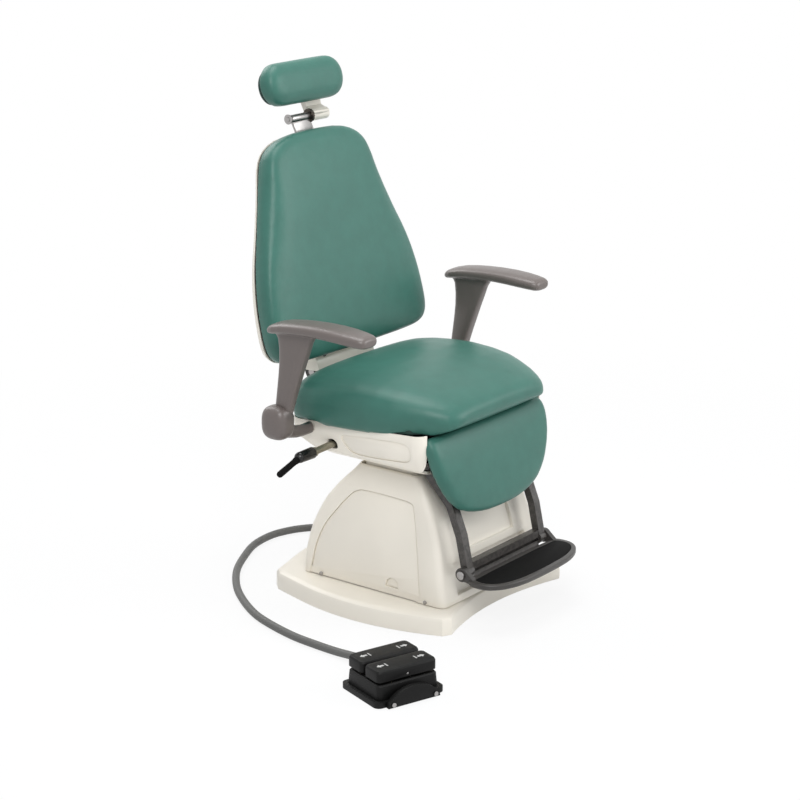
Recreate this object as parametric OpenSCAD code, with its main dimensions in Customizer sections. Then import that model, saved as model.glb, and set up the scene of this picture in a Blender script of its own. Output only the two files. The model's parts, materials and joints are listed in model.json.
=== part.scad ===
// Electric ear, nose and throat examination chair with a wired foot controller.
// Origin on the floor under the lift column. +Z is up, the chair faces -Y, the sitter's left is +X.

/* [Base] */
// Length of the steel floor plate, front to back
floor_plate_l = 400; // [380:5:400]
// Width of the steel floor plate
floor_plate_w = 400; // [340:5:430]
// Thickness of the steel floor plate
floor_plate_t = 12; // [8:1:16]
// Radius of a floor anchor hole
anchor_hole_r = 5.5; // [4:0.5:8]
// Half width of the plinth cover at its corners
plinth_half_w = 230; // [225:1:245]
// Extra half width of the plinth cover at its middle
plinth_bulge = 54; // [10:1:70]
// Depth of the plinth cover from the column to its front corners
plinth_front = 240; // [235:1:260]
// Depth of the plinth cover from the column to its rear corners
plinth_rear = 255; // [245:1:280]
// Inward curve of the plinth's front edge
plinth_front_dip = 40; // [5:1:50]
// Outward curve of the plinth's rear edge
plinth_rear_bow = 61; // [10:1:80]
// Height of the plinth cover
plinth_h = 44; // [40:1:52]
// Thickness of the moulded covers
shell_t = 4; // [3:0.5:5]

/* [Column cover] */
// Height of the column cover above the plinth
dome_h = 281; // [270:1:300]
// Half width of the column cover at its foot
dome_half_w = 200; // [190:1:210]
// Depth of the column cover's foot in front of the column
dome_front = 201; // [190:1:205]
// Depth of the column cover's foot behind the column
dome_rear = 207; // [200:1:220]
// Half width of the sliding neck cover
neck_half_w = 155; // [145:1:156]
// Depth of the neck cover in front of the column
neck_front = 94; // [88:1:96]
// Depth of the neck cover behind the column
neck_rear = 64; // [64:1:66]

/* [Lift] */
// Travel of the seat lift
lift_travel = 180; // [120:5:190]
// Outer radius of the fixed column tube
column_r = 60; // [56:0.5:61]
// Wall of the column tubes
column_t = 5; // [4:0.5:6]
// Radius of the ram rod
ram_rod_r = 14; // [10:0.5:16]

/* [Seat] */
// Height of the underside of the seat pan
pan_z = 346; // [346:1:352]
// Height of the seat pan at its rear
pan_h = 84; // [84:1:92]
// Half width of the seat pan
pan_half_w = 240; // [232:1:242]
// Depth of the seat pan behind the column
pan_rear = 209; // [206:1:211]
// Depth of the seat pan in front of the column
pan_front = 168; // [164:1:170]
// Backward lean of the seat cushion
seat_tilt = 3; // [3:0.1:5]
// Half width of the seat cushion
seat_half_w = 260; // [250:1:262]
// Length of the seat cushion
seat_l = 420; // [415:1:428]
// Thickness of the seat cushion near its sides
seat_t = 92; // [70:1:94]
// Thickness of the plywood under a cushion
board_t = 12; // [8:1:14]

/* [Back] */
// Backward lean of the backrest at rest
back_tilt = 14; // [8:0.5:16]
// Length of the back cushion
back_l = 517; // [480:1:540]
// Half width of the back cushion
back_half_w = 282; // [260:1:283]
// Thickness of the back cushion
back_t = 38; // [36:1:39]
// Depth of the rear shell of the backrest
back_shell_d = 46; // [38:1:50]
// Height of the back hinge above the floor
recline_z = 494; // [493:0.5:495]
// Distance of the back hinge behind the column
recline_y = 258; // [257:0.5:259]

/* [Headrest] */
// Half length of the headrest cushion
head_half_w = 140; // [120:1:150]
// Height of the headrest cushion
head_h = 108; // [90:1:115]
// Thickness of the headrest cushion
head_t = 50; // [40:1:54]
// Width of the headrest bar
head_bar_w = 62; // [50:1:70]
// Thickness of the headrest bar
head_bar_t = 6; // [4:0.5:7]

/* [Arms] */
// Distance of an arm's outer face from the middle of the chair
arm_outer = 366; // [360:1:380]
// Width of an arm pad
arm_w = 73; // [60:1:76]
// Height of the highest point of an arm pad
arm_z = 690; // [670:1:710]
// Radius of an arm's pivot shaft
arm_shaft_r = 8; // [6:0.5:9]

/* [Leg rest] */
// Backward lean of the leg rest at rest
leg_tilt = 14.3; // [10:0.1:16]
// Half width of the leg cushion
leg_half_w = 214; // [190:1:214]
// Height of the leg cushion
leg_h = 224; // [200:1:230]
// Thickness of the leg cushion
leg_t = 30; // [24:1:32]
// Width of a leg bar
bar_w = 22; // [18:1:26]
// Depth of a leg bar
bar_d = 18; // [14:1:20]
// Half width of the footplate
foot_half_w = 178; // [172:1:186]
// Reach of the footplate from its hinge
foot_reach = 122; // [100:1:140]
// Thickness of the footplate
foot_t = 10; // [8:0.5:12]

/* [Foot controller] */
// Length of the foot controller
ctl_l = 170; // [150:1:180]
// Width of the foot controller
ctl_w = 142; // [130:1:150]
// Height of the foot controller's housing
ctl_h = 44; // [40:1:46]
// Turn of the foot controller on the floor
ctl_turn = -19.2; // [-25:0.1:-10]
// Diameter of the foot controller's cable
cable_d = 18; // [14:0.5:20]

/* [Hidden] */

$fn = 48;
// Overrun of every cut past the face it opens
cut = 1;
// Clearance between covers, seats and the pieces they stand on
seat_gap = 0.3;
// Radial clearance of a turning or sliding fit
fit_gap = 0.05;
// Clearance between parts that pass each other
pass_gap = 2;

// Points of a rounded rectangle seen from above, counter-clockwise, n steps to a corner
function box_ring(half_w, y0, y1, r, n = 6) = [
    for (q = [0:3], i = [0:n])
        let (a = 90 * q + 90 * i / n)
        [(q == 0 || q == 3 ? 1 : -1) * (half_w - r) + r * cos(a), (q < 2 ? y1 - r : y0 + r) + r * sin(a)]];

// Points of an outline with every corner cut back once
soft_share = 0.25;
function soften(p) = [
    for (i = [0:len(p) - 1])
        let (a = p[i], b = p[(i + 1) % len(p)])
        each [a + (b - a) * soft_share, b + (a - b) * soft_share]];

// A flat outline at height z
function at_z(p, z) = [for (q = p) [q.x, q.y, z]];

// A flat outline stood up: its second value becomes height, and it lies at depth y
function at_y(p, y) = [for (q = p) [-q.x, y, q.y]];

// An oval across the direction Y, for lofts along Y
function oval_y(cx, cz, y, a, b, n, power) = [
    for (i = [0:n - 1])
        let (t = 360 * i / n, s = sin(t), c = cos(t))
        [cx + a * sign(s) * pow(abs(s), 2 / power), y, cz + b * sign(c) * pow(abs(c), 2 / power)]];

// An oval across the direction Z, for lofts along Z
function oval_z(cx, cy, z, a, b, n, power) = [
    for (i = [0:n - 1])
        let (t = 360 * i / n, s = sin(t), c = cos(t))
        [cx + a * sign(c) * pow(abs(c), 2 / power), cy + b * sign(s) * pow(abs(s), 2 / power), z]];

function middle(r) = [for (k = [0:2]) let (v = [for (p = r) p[k]]) (max(v) + min(v)) / 2];

// A closed skin through a stack of outlines with the same number of points
module loft(rings) {
    n = len(rings[0]);
    m = len(rings);
    points = concat([for (r = rings) each r], [middle(rings[0]), middle(rings[m - 1])]);
    sides = [
        for (i = [0:m - 2], j = [0:n - 1])
            let (k = (j + 1) % n)
            each [[i * n + j, (i + 1) * n + j, (i + 1) * n + k], [i * n + j, (i + 1) * n + k, i * n + k]]];
    foot = [for (j = [0:n - 1]) [m * n, j, (j + 1) % n]];
    top = [for (j = [0:n - 1]) [m * n + 1, (m - 1) * n + (j + 1) % n, (m - 1) * n + j]];
    polyhedron(points, concat(sides, foot, top), convexity = 6);
}

// A rod from point a to point b
module rod(a, b, r) {
    d = b - a;
    translate(a)
        rotate([0, acos(d.z / norm(d)), atan2(d.y, d.x)])
            cylinder(r = r, h = norm(d));
}

// A bar across the chair, centred on its middle, at depth y and height z
module cross_rod(y, z, r, half_l) {
    translate([-half_l, y, z])
        rotate([0, 90, 0])
            cylinder(r = r, h = 2 * half_l);
}

// A plate that stands fore and aft: outline in depth and height, inner face at x
module side_plate(p, x, t) {
    translate([x, 0, 0])
        rotate([90, 0, 90])
            linear_extrude(t)
                polygon(p);
}

// A piece and its mirror image across the middle of the chair
module both_sides() {
    children();
    mirror([1, 0, 0])
        children();
}

// Floor plate, plinth and slewing ring
plate_mid_y = (plinth_rear - plinth_front) / 2;
plate_corner_r = 40;
anchor_inset_x = 35;
anchor_x = floor_plate_w / 2 - anchor_inset_x;
anchor_inset_y = 20;
anchor_y = floor_plate_l / 2 - anchor_inset_y;
plinth_rim_h = 32;
plinth_steps = 8;
plinth_level_shares = [0, 0.72, 0.88, 0.965, 1];
plinth_inset = 16;
plinth_inset_shares = [0, 0.03, 0.2, 0.55, 1];
boss_r = 9;
boss_x = 150;
boss_y = 165;
ring_pitch_r = 93;
ring_w = 15;
ring_h = 14.5;
ball_r = 5;
ball_count = 24;
ball_gap = 0.15;
ball_z = floor_plate_t + ring_h + ball_gap * 3;
turret_z = plinth_h + pass_gap;
turret_plate_t = 10;

function plinth_ring(inset) = let (
    hw = plinth_half_w - inset,
    half_l = (plinth_rear + plinth_front) / 2 - inset,
    n = plinth_steps)
    soften(concat(
        [for (i = [0:n - 1]) let (u = 2 * i / n - 1)
            [u * hw, plate_mid_y - half_l + plinth_front_dip * (1 - u * u)]],
        [for (i = [0:n - 1]) let (u = 2 * i / n - 1)
            [hw + plinth_bulge * (1 - u * u), plate_mid_y + half_l * u]],
        [for (i = [0:n - 1]) let (u = 1 - 2 * i / n)
            [u * hw, plate_mid_y + half_l + plinth_rear_bow * (1 - u * u)]],
        [for (i = [0:n - 1]) let (u = 1 - 2 * i / n)
            [-hw - plinth_bulge * (1 - u * u), plate_mid_y + half_l * u]]));

// Depth of the plinth's rear face at a place across the chair
function plinth_rear_at(x) = plinth_rear + plinth_rear_bow * (1 - pow(x / plinth_half_w, 2));

module floor_plate() {
    color("dimgray")
        difference() {
            linear_extrude(floor_plate_t)
                polygon(box_ring(floor_plate_w / 2, plate_mid_y - floor_plate_l / 2,
                    plate_mid_y + floor_plate_l / 2, plate_corner_r));
            for (x = [-anchor_x, anchor_x], y = [-anchor_y, anchor_y])
                translate([x, plate_mid_y + y, -cut])
                    cylinder(r = anchor_hole_r, h = floor_plate_t + 2 * cut);
        }
}

inlet_x = -100;
inlet_w = 30;
inlet_h = 22;
inlet_z = 6;
inlet_d = 26;
inlet_proud = 2;
inlet_wall = 3;
inlet_pin_r = 1.6;
gland_x = 140;
gland_z = 20;
gland_r = 13;
gland_neck_r = 11;
gland_tip_r = 10;
gland_nut_l = 10;
gland_l = 20;
gland_y = plinth_rear_at(gland_x) - shell_t * 2;

module plinth_cover() {
    top_r = ring_pitch_r + ring_w + 3 * pass_gap;
    color([0.86, 0.84, 0.79])
        difference() {
            union() {
                difference() {
                    loft([for (i = [0:4]) at_z(plinth_ring(plinth_inset * plinth_inset_shares[i]),
                        plinth_h * plinth_level_shares[i])]);
                    loft([for (i = [0:4]) at_z(plinth_ring(shell_t + plinth_inset * plinth_inset_shares[i]),
                        plinth_h * plinth_level_shares[i] - (i == 0 ? cut : shell_t))]);
                }
                for (x = [-boss_x, boss_x], y = [-boss_y, boss_y])
                    translate([x, y, floor_plate_t + seat_gap])
                        cylinder(r = boss_r, h = plinth_h - floor_plate_t - shell_t);
            }
            translate([0, 0, -cut])
                cylinder(r = top_r, h = plinth_h + 2 * cut);
            translate([inlet_x - inlet_w / 2 - seat_gap, plinth_rear, inlet_z - seat_gap])
                cube([inlet_w + 2 * seat_gap, plinth_rear_bow * 2, inlet_h + 2 * seat_gap]);
            translate([gland_x, plinth_rear, gland_z])
                rotate([-90, 0, 0])
                    cylinder(r = gland_neck_r + seat_gap, h = plinth_rear_bow * 2);
        }
}

module race(z, h) {
    difference() {
        translate([0, 0, z])
            cylinder(r = ring_pitch_r + ring_w, h = h);
        translate([0, 0, z - cut])
            cylinder(r = ring_pitch_r - ring_w, h = h + 2 * cut);
        rotate_extrude()
            translate([ring_pitch_r, ball_z])
                circle(r = ball_r + ball_gap);
    }
}

module slew_ring_fixed() {
    color("silver")
        race(floor_plate_t, ring_h);
}

module slew_ring_turning() {
    low = floor_plate_t + ring_h + ball_gap * 6;
    color("lightgray")
        race(low, turret_z - low);
}

module slew_balls() {
    color("gainsboro")
        for (i = [0:ball_count - 1])
            rotate([0, 0, 360 * i / ball_count])
                translate([ring_pitch_r, 0, ball_z])
                    sphere(r = ball_r);
}

// Column cover: each level is a share of its height, half width, front depth and rear depth
dome_level_shares = [
    [0, 1, 1, 1], [0.043, 1, 1, 1], [0.19, 0.98, 0.95, 0.981], [0.335, 0.957, 0.905, 0.965],
    [0.477, 0.93, 0.856, 0.942], [0.6, 0.91, 0.8, 0.87], [0.708, 0.89, 0.736, 0.773],
    [0.8, 0.865, 0.677, 0.691], [0.872, 0.85, 0.622, 0.556], [0.947, 0.83, 0.562, 0.411],
    [0.986, 0.82, 0.528, 0.355], [1, 0.805, 0.507, 0.335]];
dome_corner_r = 17;
dome_top_z = turret_z + dome_h;
screw_r = 2;
screw_head_r = 4.5;
screw_head_t = 2.5;
screw_l = 16;
screw_y = 150;
screw_z = turret_z + turret_plate_t / 2;

function dome_ring(k, inset, z) = let (s = dome_level_shares[k])
    at_z(box_ring(dome_half_w * s[1] - inset, -dome_front * s[2] + inset, dome_rear * s[3] - inset,
        dome_corner_r - inset, 5), z);

module cover_screw_row(r, l, x) {
    for (side = [-1, 1], y = [-screw_y, screw_y])
        translate([side * x, y, screw_z])
            rotate([0, side * 90, 0])
                cylinder(r = r, h = l, $fn = 24);
}

module column_cover() {
    m = len(dome_level_shares) - 1;
    color([0.87, 0.84, 0.78])
        difference() {
            loft([for (k = [0:m]) dome_ring(k, 0, turret_z + dome_h * dome_level_shares[k][0])]);
            loft([for (k = [0:m]) dome_ring(k, shell_t,
                turret_z + dome_h * dome_level_shares[k][0] - (k == 0 ? cut : (k == 1 ? 0 : shell_t)))]);
            translate([0, 0, dome_top_z - 3 * shell_t])
                linear_extrude(4 * shell_t)
                    polygon(box_ring(neck_half_w + pass_gap, -neck_front - pass_gap,
                        neck_rear + pass_gap, neck_corner_r + pass_gap));
            cover_screw_row(screw_r + fit_gap, screw_l, dome_half_w - screw_l / 2);
        }
}

module cover_screws() {
    color("gray") {
        cover_screw_row(screw_r, screw_l, dome_half_w - screw_l + seat_gap);
        cover_screw_row(screw_head_r, screw_head_t, dome_half_w + fit_gap);
    }
}

module turret_plate() {
    edge = shell_t + seat_gap;
    color("slategray")
        difference() {
            translate([0, 0, turret_z])
                linear_extrude(turret_plate_t)
                    polygon(box_ring(dome_half_w - edge, -dome_front + edge, dome_rear - edge,
                        dome_corner_r - shell_t + seat_gap, 5));
            cover_screw_row(screw_r + fit_gap, screw_l + cut, dome_half_w - screw_l);
        }
}

// Lift column, ram and neck cover
column_gap = 5;
lift_r = column_r - column_t - column_gap;
column_low = turret_z + turret_plate_t;
column_top = pan_z - 24;
bush_l = 30;
ram_r = 22;
ram_floor = 10;
ram_top = column_top - 22;
neck_corner_r = 24;
neck_wall = 3;
neck_l = lift_travel + 42;
frame_z = pan_z + shell_t + seat_gap;

module tube(r, wall, z0, z1) {
    difference() {
        translate([0, 0, z0])
            cylinder(r = r, h = z1 - z0);
        translate([0, 0, z0 - cut])
            cylinder(r = r - wall, h = z1 - z0 + 2 * cut);
    }
}

module column_tube() {
    color("gray")
        tube(column_r, column_t, column_low, column_top);
}

module column_bush() {
    color("ivory")
        tube(column_r - column_t, column_gap - fit_gap, column_top - bush_l, column_top);
}

module lift_tube() {
    color("silver")
        tube(lift_r, column_t, column_low + ram_floor, frame_z);
}

module lift_bush() {
    color("ivory")
        tube(column_r - column_t - fit_gap, column_gap - fit_gap,
            column_low + ram_floor, column_low + ram_floor + bush_l);
}

module ram_cylinder() {
    color("dimgray")
        difference() {
            translate([0, 0, column_low])
                cylinder(r = ram_r, h = ram_top - column_low);
            translate([0, 0, column_low + ram_floor / 2])
                cylinder(r = ram_rod_r + fit_gap, h = ram_top);
        }
}

module ram_rod() {
    low = column_low + ram_floor;
    color("gainsboro")
        translate([0, 0, low])
            cylinder(r = ram_rod_r, h = frame_z - low);
}

module neck_cover() {
    color([0.85, 0.82, 0.76])
        translate([0, 0, pan_z - neck_l])
            linear_extrude(neck_l - seat_gap)
                difference() {
                    polygon(box_ring(neck_half_w, -neck_front, neck_rear, neck_corner_r));
                    polygon(box_ring(neck_half_w - neck_wall, -neck_front + neck_wall,
                        neck_rear - neck_wall, neck_corner_r - neck_wall));
                }
}

// Pump, tank and control box on the turret plate
service_y = 130;
pump_x = -92;
pump_w = 84;
pump_d = 70;
pump_h = 48;
pump_motor_r = 32;
pump_motor_h = 88;
tank_r = 36;
tank_h = 118;
box_x = 94;
box_w = 92;
box_d = 74;
box_h = 96;
box_lid_t = 3;

module pump_unit() {
    color([0.25, 0.27, 0.3]) {
        translate([pump_x - pump_w / 2, service_y - pump_d / 2, column_low])
            cube([pump_w, pump_d, pump_h]);
        translate([pump_x, service_y, column_low + pump_h])
            cylinder(r = pump_motor_r, h = pump_motor_h);
    }
}

module oil_tank() {
    color([0.8, 0.8, 0.76])
        translate([0, service_y, column_low])
            cylinder(r = tank_r, h = tank_h);
}

module control_box() {
    color([0.18, 0.2, 0.24]) {
        translate([box_x - box_w / 2, service_y - box_d / 2, column_low])
            cube([box_w, box_d, box_h]);
        translate([box_x - box_w / 2 - box_lid_t, service_y - box_d / 2 - box_lid_t, column_low + box_h])
            cube([box_w + 2 * box_lid_t, box_d + 2 * box_lid_t, box_lid_t]);
    }
}

// Seat: pan, steel frame, board and cushion
pan_level_shares = [
    [0, 0.75, 0.893, 0.455], [0.07, 0.833, 0.952, 0.64], [0.221, 0.925, 1, 0.789],
    [0.453, 0.967, 1, 0.938], [0.744, 0.992, 1, 0.986], [1, 1, 1, 1]];
pan_corner_r = 26;
pan_edge_y = 200;
pan_edge_z = pan_z + pan_h;
pan_gap_half_w = 218;
pan_gap_y = -150;
pan_slot_half_w = 165;
pan_slot_y = -84;
pan_lift_half_w = 110;
pan_lift_y0 = -80;
pan_lift_y1 = 70;
// Shares of the seat cushion from rear to front: length, half width, underside and top
seat_level_shares = [
    [0, 0.8, 0.3, 0.66], [0.012, 0.88, 0.12, 0.82], [0.03, 0.935, 0.03, 0.93], [0.06, 0.97, 0, 1.02],
    [0.11, 0.995, 0, 1.1], [0.2, 1, 0, 1.17], [0.32, 1, 0, 1.2], [0.45, 1, 0, 1.19], [0.58, 0.98, 0, 1.12],
    [0.69, 0.945, 0, 1.02], [0.78, 0.895, 0, 0.9], [0.86, 0.84, 0, 0.78], [0.92, 0.785, 0, 0.66],
    [0.96, 0.735, 0.01, 0.56], [0.985, 0.675, 0.05, 0.46], [1, 0.6, 0.14, 0.34]];
// Shares of one side of its cross-section: half width and height
seat_side_shares = [
    [0.94, 0], [0.975, 0.035], [0.995, 0.11], [1, 0.22], [1, 0.36], [0.985, 0.52], [0.955, 0.66],
    [0.9, 0.78], [0.81, 0.875], [0.68, 0.94], [0.5, 0.98], [0.25, 1]];
seat_lip = 6;
board_inset = 26;
board_front_inset = 50;
board_rear_inset = 4;
board_corner_r = 70;
board_pocket_gap = 1.5;

// Height of the sloping top edge of the pan at a depth
function edge_z(y) = pan_edge_z + (pan_edge_y - y) * tan(seat_tilt);

function pan_ring(k, inset, lift) = let (
    s = pan_level_shares[k],
    flat = box_ring(pan_half_w * s[1] - inset, -pan_front * s[2] + inset, pan_rear * s[3] - inset,
        pan_corner_r - inset, 5))
    [for (p = flat) [p.x, p.y, (k == 5 ? edge_z(p.y) : pan_z + pan_h * s[0]) + lift]];

module at_seat() {
    translate([0, pan_edge_y, pan_edge_z])
        rotate([-seat_tilt, 0, 0])
            children();
}

function seat_ring(k) = let (
    q = seat_level_shares[k],
    n = len(seat_side_shares) - 1,
    hw = seat_half_w * q[1],
    low = seat_board_gap + seat_t * q[2],
    rise = seat_t * (q[3] - q[2]),
    y = seat_lip - (seat_l + seat_lip) * q[0])
    concat([for (i = [0:n]) [-hw * seat_side_shares[i][0], y, low + rise * seat_side_shares[i][1]]],
        [for (i = [n:-1:0]) [hw * seat_side_shares[i][0], y, low + rise * seat_side_shares[i][1]]]);

module seat_cushion() {
    last = len(seat_level_shares) - 1;
    color([0.38, 0.57, 0.51])
        at_seat()
            difference() {
                loft([for (k = [last:-1:0]) seat_ring(k)]);
                translate([0, 0, -cut])
                    linear_extrude(board_t + 2 * seat_gap + seat_board_gap + cut)
                        polygon(box_ring(seat_half_w - board_inset, -seat_l + board_front_inset,
                            seat_lip + cut, board_corner_r, 4));
            }
}
seat_board_gap = 0.6;

module seat_board() {
    color("burlywood")
        at_seat()
            translate([0, 0, seat_gap])
                linear_extrude(board_t)
                    polygon(box_ring(seat_half_w - board_inset - board_pocket_gap,
                        -seat_l + board_front_inset + board_pocket_gap, -board_rear_inset,
                        board_corner_r - board_pocket_gap, 4));
}

lever_hole = [-232, 87, 386];
lever_knuckle = [-277, 110, 372];
lever_knuckle_end = [-319, 110, 372];
lever_tip = [-392, 110, 350];
lever_r = 8;
lever_knuckle_r = 11;
lever_grip_r = 7;
lever_in_l = 70;
lever_bearing_l = 58;
cam_l = 32;
cam_r = 20;
cam_t = 10;
arm_y = 146;
arm_pivot_z = 422;

module seat_pan() {
    hole_r = lever_r + 2 * pass_gap;
    reach = 3 * hole_r;
    d = (lever_knuckle - lever_hole) / norm(lever_knuckle - lever_hole);
    color([0.89, 0.87, 0.82])
        difference() {
            loft([for (k = [0:5]) pan_ring(k, 0, 0)]);
            loft([for (k = [0:5]) pan_ring(k, shell_t, k == 5 ? cut : (k < 2 ? shell_t : shell_t / 2))]);
            translate([-pan_gap_half_w, -pan_front - cut, pan_z + 2 * shell_t])
                cube([2 * pan_gap_half_w, pan_front + pan_gap_y, pan_h * 2]);
            translate([-pan_slot_half_w, -pan_front - cut, pan_z - cut])
                cube([2 * pan_slot_half_w, pan_front + pan_slot_y + cut, 3 * shell_t]);
            translate([-pan_lift_half_w, pan_lift_y0, pan_z - cut])
                cube([2 * pan_lift_half_w, pan_lift_y1 - pan_lift_y0, shell_t + 2 * cut]);
            rod(lever_hole - d * reach, lever_hole + d * reach, hole_r);
            cross_rod(arm_y, arm_pivot_z, arm_shaft_r + 2 * seat_gap, arm_outer);
            both_sides()
                for (x = [ear_in_x, ear_out_x])
                    translate([x - pass_gap, pan_rear / 2, arm_pivot_z - ear_drop])
                        cube([ear_t + 2 * pass_gap, pan_rear, pan_h]);
        }
}

ear_t = 8;
ear_in_x = 44;
ear_out_x = 82;
ear_drop = 24;
ear_ring_r = 25;
motor_r = 20;
motor_half_l = 58;
shaft_r = 8;
shaft_half_l = 98;
rail_x = 100;
rail_t = 6;
frame_t = 8;
frame_half_w = 66;
frame_y0 = -60;
frame_y1 = 184;
frame_wide_y = 30;
// Underside of a frame rail behind the column, as depth and height above the pan's underside
rail_low = [[86, 4.3], [126, 12.5], [156, 24], [184, 42]];
lug_r = 14;
brace_z = pan_z + 50;
neck_front_z = pan_z + 28;
neck_front_top_z = pan_z + 56;
neck_front_y = -72;
// Ear outline as offsets from the back hinge
ear_offsets = [[-132, -92], [-132, -63.5], [-61, -66], [-54.5, -58], [-48, -38], [-21, 14], [18, -17],
    [-32, -82], [-46, -92]];

leg_origin_y = -165;
leg_origin_z = 443;
leg_hinge_t = 31;
leg_hinge_v = -48;
leg_y = leg_origin_y + leg_hinge_t * cos(leg_tilt) + leg_hinge_v * sin(leg_tilt);
leg_z = leg_origin_z - leg_hinge_t * sin(leg_tilt) + leg_hinge_v * cos(leg_tilt);

module seat_frame() {
    top = [for (y = [frame_y1, neck_front_y]) [y, edge_z(y) - seat_gap]];
    rail = concat([for (q = rail_low) [q[0], pan_z + q[1]]], [top[0], top[1], [neck_front_y, neck_front_top_z],
        [leg_y, neck_front_top_z - frame_t / 2], [leg_y, neck_front_z], [neck_front_y, frame_z]]);
    d = (lever_knuckle - lever_hole) / norm(lever_knuckle - lever_hole);
    b = lever_hole - d * lever_bearing_l;
    ear = [for (p = ear_offsets) [recline_y + p[0], recline_z + p[1]]];
    color([0.3, 0.31, 0.33])
        difference() {
            union() {
                translate([-frame_half_w, frame_y0, frame_z])
                    cube([2 * frame_half_w, rail_low[0][0] - frame_y0, frame_t]);
                translate([-rail_x - rail_t, frame_wide_y, frame_z])
                    cube([2 * (rail_x + rail_t), rail_low[0][0] - frame_wide_y, frame_t]);
                translate([-rail_x - rail_t, frame_y1 - frame_t, pan_z + rail_low[3][1]])
                    cube([2 * (rail_x + rail_t), frame_t, edge_z(frame_y1) - pan_z - rail_low[3][1] - seat_gap]);
                rod(b - d * frame_t, b + d * frame_t, lug_r);
                translate([b.x, b.y - frame_t / 2, b.z - frame_t])
                    cube([-rail_x - b.x, frame_t, 2 * frame_t]);
                translate([-rail_x - rail_t, frame_y0, brace_z])
                    cube([2 * (rail_x + rail_t), frame_t, edge_z(frame_y0 + frame_t) - brace_z - seat_gap]);
                translate([-frame_half_w + cut, frame_y0, frame_z])
                    cube([2 * frame_half_w - 2 * cut, frame_t, pan_h / 2]);
                both_sides() {
                    side_plate(rail, rail_x, rail_t);
                    translate([rail_x, leg_y, leg_z])
                        rotate([0, 90, 0])
                            cylinder(r = lug_r, h = rail_t);
                    for (x = [ear_in_x, ear_out_x]) {
                        side_plate(ear, x, ear_t);
                        translate([x, recline_y, recline_z])
                            rotate([0, 90, 0])
                                cylinder(r = ear_ring_r, h = ear_t);
                    }
                }
            }
            rod(b - d * lug_r, b + d * lug_r, lever_r + fit_gap);
            cross_rod(leg_y, leg_z, shaft_r + fit_gap, shaft_half_l * 2);
            cross_rod(recline_y, recline_z, motor_r + fit_gap, ear_in_x + ear_t + cut);
            cross_rod(recline_y, recline_z, shaft_r + fit_gap, shaft_half_l);
            both_sides()
                translate([ear_out_x - cut, arm_y, arm_pivot_z])
                    rotate([0, 90, 0])
                        cylinder(r = arm_shaft_r + fit_gap, h = rail_x);
        }
}

module recline_motor() {
    color("gray")
        difference() {
            cross_rod(recline_y, recline_z, motor_r, motor_half_l);
            cross_rod(recline_y, recline_z, shaft_r + fit_gap, motor_half_l + cut);
        }
}

module hinge_shaft() {
    color("gainsboro")
        cross_rod(recline_y, recline_z, shaft_r, shaft_half_l);
}

arm_shaft_in_x = ear_out_x + cut;
arm_shaft_end_inset = 60;
arm_shaft_out_x = arm_outer - arm_shaft_end_inset;

module arm_shafts() {
    color("gainsboro")
        both_sides()
            translate([arm_shaft_in_x, arm_y, arm_pivot_z])
                rotate([0, 90, 0])
                    cylinder(r = arm_shaft_r, h = arm_shaft_out_x - arm_shaft_in_x);
}

// Leg rest actuator: its rod moves along a line that passes below the leg hinge
act_x = 84;
act_slope = 10;
act_lever = 36;
act_half_angle = 35;
act_r = 16;
act_rod_r = 7;
act_pin_r = 5;
act_pin_half_l = 12;
act_body_gap = 50;
act_body_l = 140;
act_dir = [0, -cos(act_slope), -sin(act_slope)];
act_mid = [act_x, leg_y + act_lever * sin(act_slope), leg_z - act_lever * cos(act_slope)];
act_pin = act_mid - act_dir * act_lever * tan(act_half_angle);
act_near = act_pin - act_dir * act_body_gap;
act_far = act_pin - act_dir * (act_body_gap + act_body_l);

module leg_actuator() {
    color([0.22, 0.23, 0.25]) {
        difference() {
            rod(act_near, act_far, act_r);
            rod(act_near + act_dir * cut, act_far + act_dir * act_r, act_rod_r + fit_gap);
        }
        translate([act_x - act_r / 2, act_far.y - act_r / 2, act_far.z])
            cube([act_r, act_r, edge_z(act_far.y + act_r) - act_far.z - seat_gap]);
    }
}

module leg_rod() {
    color("silver") {
        rod(act_pin, act_near - act_dir * act_body_l / 2, act_rod_r);
        translate([act_x - act_pin_half_l, act_pin.y, act_pin.z])
            rotate([0, 90, 0])
                cylinder(r = act_pin_r, h = 2 * act_pin_half_l);
    }
}

// Brake lever on the sitter's right
lever_core_r = 4;
lever_core_in = 8;
lever_core_short = 10;
grip_lift = 2.6;
grip_e = (lever_tip - lever_knuckle_end) / norm(lever_tip - lever_knuckle_end);

module lock_shaft() {
    d = (lever_knuckle - lever_hole) / norm(lever_knuckle - lever_hole);
    color("gainsboro") {
        rod(lever_hole - d * lever_in_l, lever_knuckle, lever_r);
        rod(lever_knuckle + [lever_knuckle_r, 0, 0], lever_knuckle_end, lever_knuckle_r);
        rod(lever_knuckle_end - grip_e * lever_core_in, lever_tip - grip_e * lever_core_short, lever_core_r);
    }
}

module lock_grip() {
    l = norm(lever_tip - lever_knuckle_end) - grip_lift;
    bore = lever_core_r + fit_gap;
    bore_l = l - lever_core_short + 2 * seat_gap;
    color([0.1, 0.1, 0.1])
        translate(lever_knuckle_end + grip_e * grip_lift)
            rotate([0, acos(grip_e.z), atan2(grip_e.y, grip_e.x)])
                rotate_extrude()
                    polygon([[bore, 0], [lever_grip_r, 0], [lever_grip_r, l - lever_grip_r / 2],
                        [lever_grip_r / 2, l], [0, l], [0, bore_l], [bore, bore_l]]);
}

module brake_cam() {
    d = (lever_knuckle - lever_hole) / norm(lever_knuckle - lever_hole);
    p = lever_hole - d * cam_l;
    color("gray")
        difference() {
            rod(p, p + d * cam_t, cam_r);
            rod(p - d * cut, p + d * (cam_t + cut), lever_r + fit_gap);
        }
}

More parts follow.
